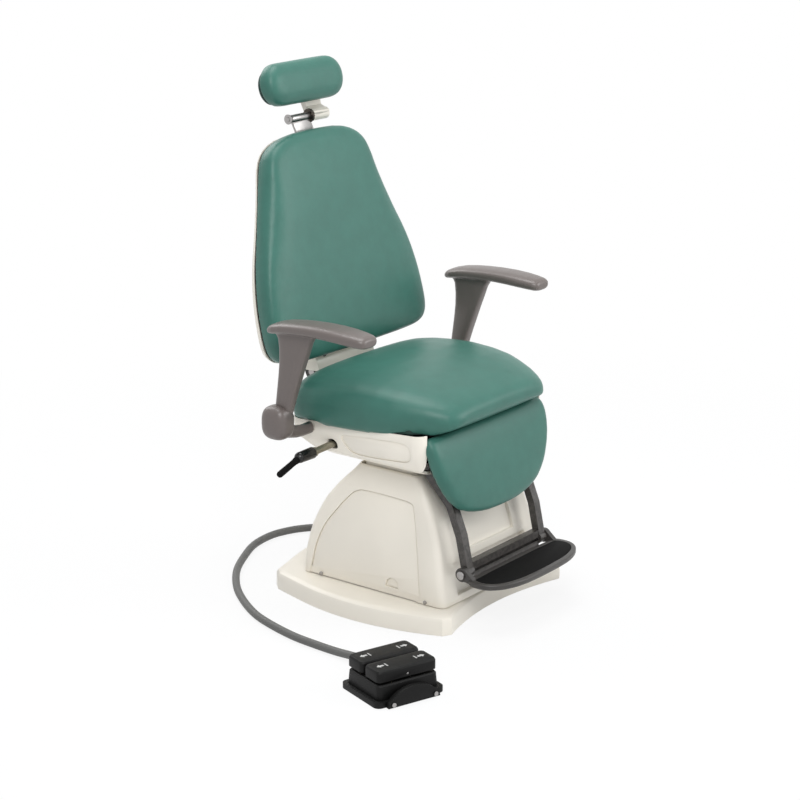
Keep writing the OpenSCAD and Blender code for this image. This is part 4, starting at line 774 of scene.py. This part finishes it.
# The pan's rim at its rear end, the height of the cushion over it, the hang of its lower edge
RIM_Y, RIM_Z, SEAT_RISE = 0.2, 0.430, 0.109
HANG, HANG_RISE, HANG_FRONT, HANG_FULL = 0.011, 0.036, -0.205, -0.165
ARM_HORN_Y, HORN_NEAR, HORN_CLEAR, HANG_AT_HORN = 0.147, 0.02, 0.05, 0.3
SHOULDER_POWER = 1.1
FRONT_NARROWING, NARROW_FROM, NARROW_TO = 0.025, -0.08, -0.2
LEG_WIDER, LEG_LIFT, LEG_EDGE_Z, LEG_LIFT_Z = 1.045, 0.014, 0.228, 0.273
HEAD_MIDDLE = Vector((0, 0.353, 1.148))
HEAD_TRIM, HEAD_SHIFT = Vector((0.985, 1, 0.975)), Vector((-0.002, 0, 0.0025))
# Name, CAD node, body, how far the form is drawn in, pressure inside
PADS = [("seat_pad", "seat_cushion", "seat", 0.001, 0.6),
        ("back_pad", "back_cushion", "back", 0.002, 0.5),
        ("leg_pad", "leg_cushion", "legrest", 0.0015, 0.4),
        ("head_pad_cover", "head_cushion", "head_pad", 0.004, 0.4)]


def drooped(co):
    """Fills the shoulders of the seat cushion and lets its rim hang over the edge of the pan."""
    rise = co.z - (RIM_Z + (RIM_Y - co.y) * SEAT_SLOPE)
    lower = HANG * (1 - share_of(rise, 0, HANG_RISE)) * share_of(co.y, HANG_FRONT, HANG_FULL)
    lower *= HANG_AT_HORN + (1 - HANG_AT_HORN) * share_of(
        abs(co.y - ARM_HORN_Y), HORN_NEAR, HORN_CLEAR)
    narrow = 1 - FRONT_NARROWING * share_of(co.y, NARROW_FROM, NARROW_TO)
    full = SEAT_RISE * (1 - (1 - share_of(rise, 0, SEAT_RISE)) ** SHOULDER_POWER)
    fuller = full - rise if 0 < rise < SEAT_RISE else 0.0
    return Vector((co.x * narrow, co.y, co.z - lower + fuller))


def squared(co):
    """Gives the leg cushion its fuller sides and flatter lower edge."""
    lift = LEG_LIFT * (1 - share_of(co.z, LEG_EDGE_Z, LEG_LIFT_Z)) ** 1.5
    return Vector((co.x * LEG_WIDER, co.y, co.z + lift))


def trimmed(co):
    """Takes the headrest cushion in a little around its middle."""
    return HEAD_MIDDLE + (co - HEAD_MIDDLE) * HEAD_TRIM + HEAD_SHIFT


FORMS = {"seat_pad": drooped, "leg_pad": squared, "head_pad_cover": trimmed}


class CHAIR_OT_cushions(bpy.types.Operator):
    """Makes the four vinyl cushions"""
    bl_idname = "chair.cushions"
    bl_label = "Cushions"

    def execute(self, context):
        for row in PADS:
            pad(*row, FORMS.get(row[0]))
        return {"FINISHED"}


# ---- covers
# Share of the height, of the half width, of the front reach and of the rear reach
DOME_LEVELS = [
    (0, 1, 1, 1), (0.043, 1, 1, 1), (0.19, 0.98, 0.95, 0.99), (0.335, 0.957, 0.905, 0.952),
    (0.42, 0.943, 0.876, 0.918), (0.5, 0.926, 0.848, 0.873), (0.6, 0.91, 0.8, 0.803),
    (0.66, 0.9, 0.768, 0.755), (0.72, 0.887, 0.73, 0.692), (0.8, 0.868, 0.677, 0.6),
    (0.872, 0.85, 0.622, 0.503), (0.947, 0.83, 0.562, 0.4), (0.986, 0.82, 0.528, 0.355),
    (1, 0.805, 0.507, 0.342)]
DOME_LOW, DOME_H, DOME_HALF_W, DOME_FRONT, DOME_REAR = 46, 281, 200, -201, 207
DOME_CORNER, LEAST_CORNER = 17, 3
SIDE_PANEL = [
    (188, 28), (182, 60), (177, 88), (171, 120), (158, 153), (143, 180), (125, 202), (98, 236),
    (64, 269), (20, 271), (-50, 270), (-92, 268), (-101, 256), (-115, 186), (-127, 114),
    (-138, 28)]
SIDE_ARCH = [(-34, 62), (-37, 77), (-46, 84), (-58, 84), (-68, 77), (-71, 62)]
FRONT_CHANNEL = [(-104, 150), (-92, 300), (92, 300), (104, 150)]
FRONT_RECESS = [(-144, 62), (-140, 134), (140, 134), (144, 62)]
# How deep each is sunk, in millimetres, and the thickness of the cover
PANEL_SUNK, PANEL_LINE, ARCH_SUNK, ARCH_LINE = 3.3, 6.5, 7, 9
CHANNEL_SUNK, RECESS_SUNK, COVER_WALL = 8, 13, 15.5
# Where the cutters reach, and how far in each line lies
COVER_SIDE, FRONT_REACH, CHANNEL_REACH, RECESS_REACH = (120, 240), -260, -60, -100
PANEL_RIM, ARCH_RIM, FOOT_TOP = 0.978, 0.86, 0.062
NECK_WAY = box_ring(159, -98, 68, 12)


def dome_rings(inset, low_drop=0, high_drop=0):
    """The column cover's form at its levels, or a smaller one inside it."""
    rings = []
    for k, (s, half, front, rear) in enumerate(DOME_LEVELS):
        z = DOME_LOW + DOME_H * s
        z -= low_drop if k == 0 else (high_drop if k > 1 else 0)
        ring = box_ring(DOME_HALF_W * half - inset, DOME_FRONT * front + inset,
                        DOME_REAR * rear - inset, max(DOME_CORNER - inset, LEAST_CORNER))
        rings.append([(x, y, z) for x, y in ring])
    return rings


def shrunk(outline, share):
    """An outline drawn in towards its middle."""
    middle = [sum(p[k] for p in outline) / len(outline) for k in (0, 1)]
    return [tuple(middle[k] + (p[k] - middle[k]) * share for k in (0, 1)) for p in outline]


def groove(cover, outline, low, high, share, core):
    """Sinks a thin line along an outline across X, above the foot of the column cover."""
    cutter = slab("groove_cutter", outline, 0, low, high)
    carve(cutter, slab("inside", shrunk(outline, share), 0, low - 1, high + 1))
    carve(cutter, stack("core", core))
    carve(cutter, block("foot", (-0.3, -0.3, 0), (0.3, 0.3, FOOT_TOP)))
    return carve(cover, cutter)


class CHAIR_OT_column_cover(bpy.types.Operator):
    """Makes the column cover with its sunk side panels and its front channel"""
    bl_idname = "chair.column_cover"
    bl_label = "Column cover"

    def execute(self, context):
        cover = stack("column_cover_moulding", dome_rings(0))
        panel = softened(SIDE_PANEL)
        for side in (-1, 1):
            low, high = sorted(side * x for x in COVER_SIDE)
            inlay(cover, panel, 0, low, high, dome_rings(PANEL_SUNK))
            inlay(cover, SIDE_ARCH, 0, low, high, dome_rings(ARCH_SUNK))
            groove(cover, panel, low, high, PANEL_RIM, dome_rings(PANEL_LINE))
            groove(cover, SIDE_ARCH, low, high, ARCH_RIM, dome_rings(ARCH_LINE))
        inlay(cover, FRONT_CHANNEL, 1, FRONT_REACH, CHANNEL_REACH, dome_rings(CHANNEL_SUNK))
        inlay(cover, FRONT_RECESS, 1, FRONT_REACH, RECESS_REACH, dome_rings(RECESS_SUNK))
        carve(cover, stack("hollow", dome_rings(COVER_WALL, 2, 4)))
        carve(cover, slab("neck_way", NECK_WAY, 2, 300, 340))
        bevelled(cover, 0.001, 2, 24)
        settle(cover, "turret", ["column_cover"], "cream_plastic", 24)
        refined("cover_screws", "column_cover_screws", 0.0004)
        return {"FINISHED"}


# The plinth's rear tips: their place, how far around them it is drawn, and how far out and back
PLINTH_TIP, TIP_REACH, TIP_OUT, TIP_BACK = (0.23, 0.255), 0.11, 0.003, 0.014


class CHAIR_OT_base_covers(bpy.types.Operator):
    """Makes the plinth cover and the sliding neck cover"""
    bl_idname = "chair.base_covers"
    bl_label = "Plinth and neck"

    def execute(self, context):
        plinth = refined("plinth_cover", "plinth_moulding", 0.0035, 3, 28)
        for vertex in plinth.data.vertices:
            co = vertex.co
            away = math.hypot(abs(co.x) - PLINTH_TIP[0], co.y - PLINTH_TIP[1])
            near = max(0.0, 1 - away / TIP_REACH) ** 2
            co.x += math.copysign(TIP_OUT, co.x) * near
            co.y += TIP_BACK * near
        # The neck cover gets the darker cream, painted shade for the shade under the seat pan
        refined("neck_cover", "neck_moulding", 0.002, 2, 30, finish("shaded_cream"))
        refined("mains_inlet", "mains_inlet_socket", 0.0005)
        refined("cable_gland", "cable_gland_nut", 0.0006)
        return {"FINISHED"}


# Share of the height, of the half width, of the front reach and of the rear reach
PAN_LEVELS = [(0, 0.75, 0.893, 0.455), (0.07, 0.833, 0.952, 0.64), (0.221, 0.925, 1, 0.789),
              (0.453, 0.967, 1, 0.938), (0.744, 0.992, 1, 0.986), (1, 1, 1, 1)]
PAN_LOW, PAN_H, PAN_HALF_W, PAN_FRONT, PAN_REAR, PAN_CORNER = 346, 84, 240, -168, 209, 26
PAN_PANEL = [
    (62, 413), (31, 418), (-40, 424), (-112, 428), (-127, 425), (-134, 416), (-136, 404),
    (-132, 389), (-120, 382), (-91, 378), (-19, 372), (30, 371), (48, 386)]
PAN_SUNK, PAN_LINE, PAN_LINE_IN, PAN_SIDE = 2.2, 3.6, 0.976, (190, 260)
LEVER_HOLE = Vector((-232, 87, 386))
LEVER_KNUCKLE = Vector((-277, 110, 372))
LEVER_KNUCKLE_END = Vector((-319, 110, 372))
LEVER_TIP = Vector((-393, 110, 349))
LEVER_HOLE_R, HOLE_REACH = 0.0135, 16


def pan_rings(inset):
    """The pan's form at its levels, up to its sloping rim, drawn in by an inset."""
    rings = []
    for s, half, front, rear in PAN_LEVELS:
        ring = box_ring(PAN_HALF_W * half - inset, PAN_FRONT * front + inset,
                        PAN_REAR * rear - inset, PAN_CORNER - inset)
        rings.append([(x, y, PAN_LOW + PAN_H * s + (RIM_Y / MM - y) * SEAT_SLOPE * (s == 1))
                      for x, y in ring])
    return rings


class CHAIR_OT_seat_pan(bpy.types.Operator):
    """Makes the pan under the seat with its sunk panels and the lever's hole"""
    bl_idname = "chair.seat_pan"
    bl_label = "Seat pan"

    def execute(self, context):
        pan = flat_faces(copy_of("seat_pan", "seat_pan_moulding"))
        panel = softened(PAN_PANEL)
        for side in (-1, 1):
            low, high = sorted(side * x for x in PAN_SIDE)
            inlay(pan, panel, 0, low, high, pan_rings(PAN_SUNK))
            groove(pan, panel, low, high, PAN_LINE_IN, pan_rings(PAN_LINE))
        reach = (LEVER_KNUCKLE - LEVER_HOLE).normalized() * HOLE_REACH
        carve(pan, drum("way", (LEVER_HOLE - reach) * MM, (LEVER_HOLE + reach) * MM, LEVER_HOLE_R))
        bevelled(pan, 0.0012, 2, 28)
        settle(pan, "seat", ["seat_pan"], "cream_plastic", 28)
        return {"FINISHED"}


class CHAIR_OT_back_covers(bpy.types.Operator):
    """Makes the rear shell of the back and the cover over its hinge"""
    bl_idname = "chair.back_covers"
    bl_label = "Back covers"

    def execute(self, context):
        refined("back_shell", "back_shell_moulding", 0.002, 3, 30)
        refined("hinge_cover", "hinge_cover_moulding", 0.003, 3, 30)
        return {"FINISHED"}


# ---- arms
ARM_X = -329.5
# Y, the middle's height, half width and half height of the pad
ARM_PAD = [
    (-92, 670, 19, 7), (-88, 671, 26, 11.5), (-80, 672, 30.5, 14), (-60, 674, 34, 15),
    (-35, 676, 36.5, 15.5), (0, 678, 37, 15.5), (40, 678.5, 37, 15), (80, 677, 37, 14.5),
    (110, 675, 36.5, 14), (140, 671.5, 35.5, 13.5), (162, 667, 32, 12.5), (176, 663, 26, 10.5),
    (184, 660, 18, 7)]
# Height, front, rear and half width of the post
ARM_POST = [
    (668, 44, 166, 17), (656, 52, 158, 17), (644, 60, 150, 17), (620, 69, 147, 17),
    (590, 81, 147, 17), (560, 92, 150, 16.5), (530, 103, 154, 16), (500, 113, 158, 15.5),
    (476, 121, 161, 15), (462, 126, 162, 13)]
PAD_SHIFT, POST_SHIFT = -8, 3
ARM_BOSS = Vector((-342, 153, 452))
BOSS_HALF = Vector((30, 34, 39))
BOSS_STEPS, BOSS_FLATNESS = 12, 12.6
# X, the middle's height, half depth and half height of the horn, and its place along Y
ARM_HORN = [(-240.5, 416, 13, 13), (-268, 416, 13.5, 13), (-292, 419, 14.5, 14),
            (-316, 429, 19, 17), (-334, 438, 23, 20)]
HORN_Y = 146
# How square each cross-section is, from 2 for an oval
PAD_SQUARE, POST_SQUARE, BOSS_SQUARE, HORN_SQUARE = 2.7, 3.4, 2.9, 2
UPPER_GRID, UPPER_ROUNDS, LOWER_GRID, LOWER_ROUNDS = 0.0022, 7, 0.0024, 5


def rounded_ring(half_a, half_b, power, sides=40):
    """A rounded rectangle around the origin, as (a, b) points."""
    return [(half_a * math.copysign(abs(c) ** (2 / power), c),
             half_b * math.copysign(abs(s) ** (2 / power), s)) for c, s in circle(sides)]


def boss_rings():
    """The round boss at the foot of an arm, from end to end along X."""
    rings = []
    for i in range(-BOSS_STEPS, BOSS_STEPS + 1):
        along = math.sin(math.pi / 2 * i / BOSS_FLATNESS)
        full = (1 - abs(along) ** 3) ** (1 / 3)
        rings.append([(ARM_BOSS.x + BOSS_HALF.x * along, ARM_BOSS.y + a * full,
                       ARM_BOSS.z + b * full)
                      for a, b in rounded_ring(BOSS_HALF.y, BOSS_HALF.z, BOSS_SQUARE)])
    return rings


class CHAIR_OT_arms(bpy.types.Operator):
    """Makes the two arms: pad and post in one, set into a round boss with its horn"""
    bl_idname = "chair.arms"
    bl_label = "Arms"

    def execute(self, context):
        top = stack("arm_pad", [
            [(ARM_X + a, y + PAD_SHIFT, z + b) for a, b in rounded_ring(half, h, PAD_SQUARE)]
            for y, z, half, h in ARM_PAD])
        post = stack("arm_post", [
            [(ARM_X + a, (y0 + y1) / 2 + POST_SHIFT + b, z)
             for a, b in rounded_ring(half, (y1 - y0) / 2, POST_SQUARE)]
            for z, y0, y1, half in ARM_POST])
        upper = remeshed(joined("arm_upper", [top, post]), UPPER_GRID, UPPER_ROUNDS)
        horn = stack("arm_horn", [
            [(x, HORN_Y + a, z + b) for a, b in rounded_ring(w, h, HORN_SQUARE)]
            for x, z, h, w in ARM_HORN])
        boss = stack("arm_boss", boss_rings())
        lower = remeshed(joined("arm_lower", [boss, horn]), LOWER_GRID, LOWER_ROUNDS)
        arm = joined("arm", [upper, lower])
        for name, side in (("arm_right", 1), ("arm_left", -1)):
            twin = linked(name + "_moulding", arm.data.copy())
            if side < 0:
                place(twin, Matrix.Diagonal((-1, 1, 1, 1)))
                merged(twin, SAME_POINT)
            settle(twin, name, [name], "taupe_plastic", 70)
        bpy.data.objects.remove(arm)
        refined("arm_shafts", "arm_shaft_pins", 0.0006)
        return {"FINISHED"}


# ---- leg rest and footplate
class CHAIR_OT_leg_rest(bpy.types.Operator):
    """Makes the frame of the leg rest, its bolts, the footplate and its mat"""
    bl_idname = "chair.leg_rest"
    bl_label = "Leg rest"

    def execute(self, context):
        refined("leg_frame", "leg_frame_bars", 0.002, 3, 30)
        refined("footplate", "footplate_casting", 0.0022, 3, 30)
        refined("foot_mat", "foot_mat_rubber", 0.0008)
        refined("foot_bolts", "foot_bolt_heads", 0.0007, 2, 30)
        board = refined("leg_board", "leg_pad_backing", 0.002, 2, 30, finish("pad_backing"))
        for vertex in board.data.vertices:
            vertex.co.z = squared(vertex.co).z
        return {"FINISHED"}


# ---- headrest fittings
BACK_AT = Matrix.Translation((0, 0.185, 0.549)) @ Matrix.Rotation(math.radians(-14), 4, "X")
# The bar's two faces and the barrel's height, in the frame of the back; the barrel's two ends
BAR_FRONT, BAR_REAR, HEAD_V = 41.3, 47.3, 545
BAR_MIDDLE = (BAR_FRONT + BAR_REAR) / 2
BARREL_OUT, BARREL_IN, BARREL_R = -40, 24, 0.009
BAR_FLARE = [
    (-40, 545), (-39, 539), (-35, 531), (-31, 515), (-31, 300), (31, 300), (31, 515), (29, 525),
    (25, 537), (24, 545)]
BLOCK_FACE = [(30.3, 545), (30.3, 551), (33, 554), (52, 560), (52, 545)]
# How much further in than the CAD's the knob and the pins' outer ends sit, and where those begin
KNOB_IN, PIN_END_X = 0.015, -0.045


class CHAIR_OT_headrest(bpy.types.Operator):
    """Makes the flared bar with its barrel, the knob, the toothed plate and the joint block"""
    bl_idname = "chair.headrest"
    bl_label = "Headrest fittings"

    def execute(self, context):
        bar = slab("bar", BAR_FLARE, 1, BAR_FRONT, BAR_REAR)
        ends = [(x * MM, BAR_MIDDLE * MM, HEAD_V * MM) for x in (BARREL_OUT, BARREL_IN)]
        carve(bar, drum("barrel", *ends, BARREL_R), "UNION")
        bevelled(bar, 0.0012, 2, 40)
        place(bar, BACK_AT)
        settle(bar, "head_slide", ["head_bar"], "bright_steel", 30)
        knob = refined("head_knob", "headrest_knob", 0.001, 2, 30)
        place(knob, Matrix.Translation((KNOB_IN, 0, 0)))
        refined("head_ratchet", "headrest_toothed_plate", 0.0004, 1, 30, finish("dark_steel"))
        joint = flat_faces(copy_of("head_block", "headrest_block"))
        carve(joint, place(slab("face", BLOCK_FACE, 0, 31, 86), BACK_AT), "UNION")
        bevelled(joint, 0.002, 3, 30)
        settle(joint, "head_arm", ["head_block"], "cream_plastic", 30)
        pins = refined("head_pins", "headrest_pins", 0.0005)
        for vertex in pins.data.vertices:
            if vertex.co.x < PIN_END_X:
                vertex.co.x += KNOB_IN
        refined("head_board", "headrest_pad_backing", 0.0015, 2, 30, finish("pad_backing"))
        return {"FINISHED"}


# ---- brake lever
KNUCKLE_R, KNUCKLE_END_R, ELBOW_R, KNUCKLE_LENGTH = 0.0136, 0.0126, 0.0128, 41
# Radius of the grip by the distance from the elbow, and by the distance from its tip
GRIP_START = [(2, 5.5), (3, 7.2), (6, 8.2), (14, 8.4), (20, 7.4), (30, 7.2)]
GRIP_END = [(12, 7.6), (4, 7.4), (1, 6), (0, 3.5)]
GRIP_SIDES = 32


class CHAIR_OT_lever(bpy.types.Operator):
    """Makes the brake lever with its black knuckle and grip"""
    bl_idname = "chair.lever"
    bl_label = "Brake lever"

    def execute(self, context):
        refined("lock_shaft", "lever_rod", 0.0005)
        along = (LEVER_KNUCKLE_END - LEVER_KNUCKLE).normalized()
        knuckle = drum("knuckle", (LEVER_KNUCKLE - along * 2) * MM,
                       (LEVER_KNUCKLE + along * KNUCKLE_LENGTH) * MM, KNUCKLE_R, 32, KNUCKLE_END_R)
        bevelled(knuckle, 0.0016, 3, 35)
        bpy.ops.object.select_all(action="DESELECT")
        bpy.ops.mesh.primitive_uv_sphere_add(segments=32, ring_count=16, radius=ELBOW_R,
                                             location=LEVER_KNUCKLE_END * MM)
        carve(knuckle, at_origin(bpy.context.object), "UNION")
        settle(knuckle, "lever", [], "black_rubber", 35, finish("gloss_black"))
        down = (LEVER_TIP - LEVER_KNUCKLE_END).normalized()
        reach = (LEVER_TIP - LEVER_KNUCKLE_END).length
        side = down.cross(Vector((0, 0, 1))).normalized()
        up = side.cross(down)
        grip = stack("lever_grip_sleeve", [
            [LEVER_KNUCKLE_END + down * far + side * r * c + up * r * s
             for c, s in circle(GRIP_SIDES)]
            for far, r in GRIP_START + [(reach - left, r) for left, r in GRIP_END]])
        settle(grip, "lever", ["lock_grip"], "black_rubber", 40)
        return {"FINISHED"}


# ---- foot controller
CONTROL_AT = Matrix.Translation((-0.5275, -0.314, 0)) @ Matrix.Rotation(math.radians(-19.2), 4, "Z")
PEDAL_TOP, PEDAL_MID, PEDAL_STEP = 74, 8, 32
MARK_LOW, MARK_HIGH = PEDAL_TOP + 0.05, PEDAL_TOP + 0.4
# Marks on the pedals: an arrow along X, further out, and a bar across it, further in
ARROW = [(0, 9), (7, 1), (3, 1), (3, -8), (-3, -8), (-3, 1), (-7, 1)]
ARROW_X, BAR_X, BAR_HALF_W, BAR_HALF_L = 50, 36, 1.5, 7


class CHAIR_OT_foot_control(bpy.types.Operator):
    """Makes the foot controller with its pedals, guard, screws and marks"""
    bl_idname = "chair.foot_control"
    bl_label = "Foot controller"

    def execute(self, context):
        refined("ctl_base", "controller_base", 0.0015, 3)
        refined("ctl_body", "controller_housing", 0.001, 2)
        refined("ctl_guard", "controller_guard", 0.0018, 3)
        refined("ctl_screws", "controller_screws", 0.0006, 2)
        refined("ctl_pivots", "controller_pivots", 0.0004)
        for sign, body in ((1, "pedal_seat"), (-1, "pedal_back")):
            refined("ctl_" + body, body + "_rocker", 0.0012, 3, 28)
            y = PEDAL_MID + sign * PEDAL_STEP
            for end, label in ((-1, "left"), (1, "right")):
                arrow = slab("mark", [(end * (ARROW_X + q), y + end * p) for p, q in ARROW], 2,
                             MARK_LOW, MARK_HIGH)
                bar = slab("mark", [(end * BAR_X + a * BAR_HALF_W, y + b * BAR_HALF_L)
                                    for a, b in ((-1, -1), (1, -1), (1, 1), (-1, 1))], 2,
                           MARK_LOW, MARK_HIGH)
                mark = joined("%s_mark_%s" % (body, label), [arrow, bar])
                bevelled(mark, 0.0001, 1)
                place(mark, CONTROL_AT)
                settle(mark, body, [], "black_plastic", 30, finish("marks"))
        return {"FINISHED"}


# ---- plain finishes of the CAD nodes
class CHAIR_OT_finishes(bpy.types.Operator):
    """Gives every CAD node that stays its finish"""
    bl_idname = "chair.finishes"
    bl_label = "Finishes"

    def execute(self, context):
        for name in NODES:
            dress(name, finish("pad_backing" if name in BARE_BOARDS else SLOT_OF[name]))
        return {"FINISHED"}


class CHAIR_PT_panel(bpy.types.Panel):
    """Buttons for every group of pieces"""
    bl_label = "Treatment Chair"
    bl_idname = "CHAIR_PT_panel"
    bl_space_type = "VIEW_3D"
    bl_region_type = "UI"
    bl_category = "Chair"

    def draw(self, context):
        for operator in OPERATORS:
            self.layout.operator(operator.bl_idname)
        for settings in (context.scene.chair_colours, context.scene.chair_sizes):
            for key in settings.__annotations__:
                self.layout.prop(settings, key)


OPERATORS = (
    CHAIR_OT_stage, CHAIR_OT_cable, CHAIR_OT_finishes, CHAIR_OT_cushions, CHAIR_OT_column_cover,
    CHAIR_OT_base_covers, CHAIR_OT_seat_pan, CHAIR_OT_back_covers, CHAIR_OT_arms,
    CHAIR_OT_leg_rest, CHAIR_OT_headrest, CHAIR_OT_lever, CHAIR_OT_foot_control)
CLASSES = (ChairColours, ChairSizes) + OPERATORS + (CHAIR_PT_panel,)


def register():
    for cls in CLASSES:
        bpy.utils.register_class(cls)
    bpy.types.Scene.chair_colours = bpy.props.PointerProperty(type=ChairColours)
    bpy.types.Scene.chair_sizes = bpy.props.PointerProperty(type=ChairSizes)


def unregister():
    del bpy.types.Scene.chair_sizes
    del bpy.types.Scene.chair_colours
    for cls in reversed(CLASSES):
        bpy.utils.unregister_class(cls)


def main():
    register()
    for operator in OPERATORS:
        kind, name = operator.bl_idname.split(".")
        getattr(getattr(bpy.ops, kind), name)()


if __name__ == "__main__":
    main()
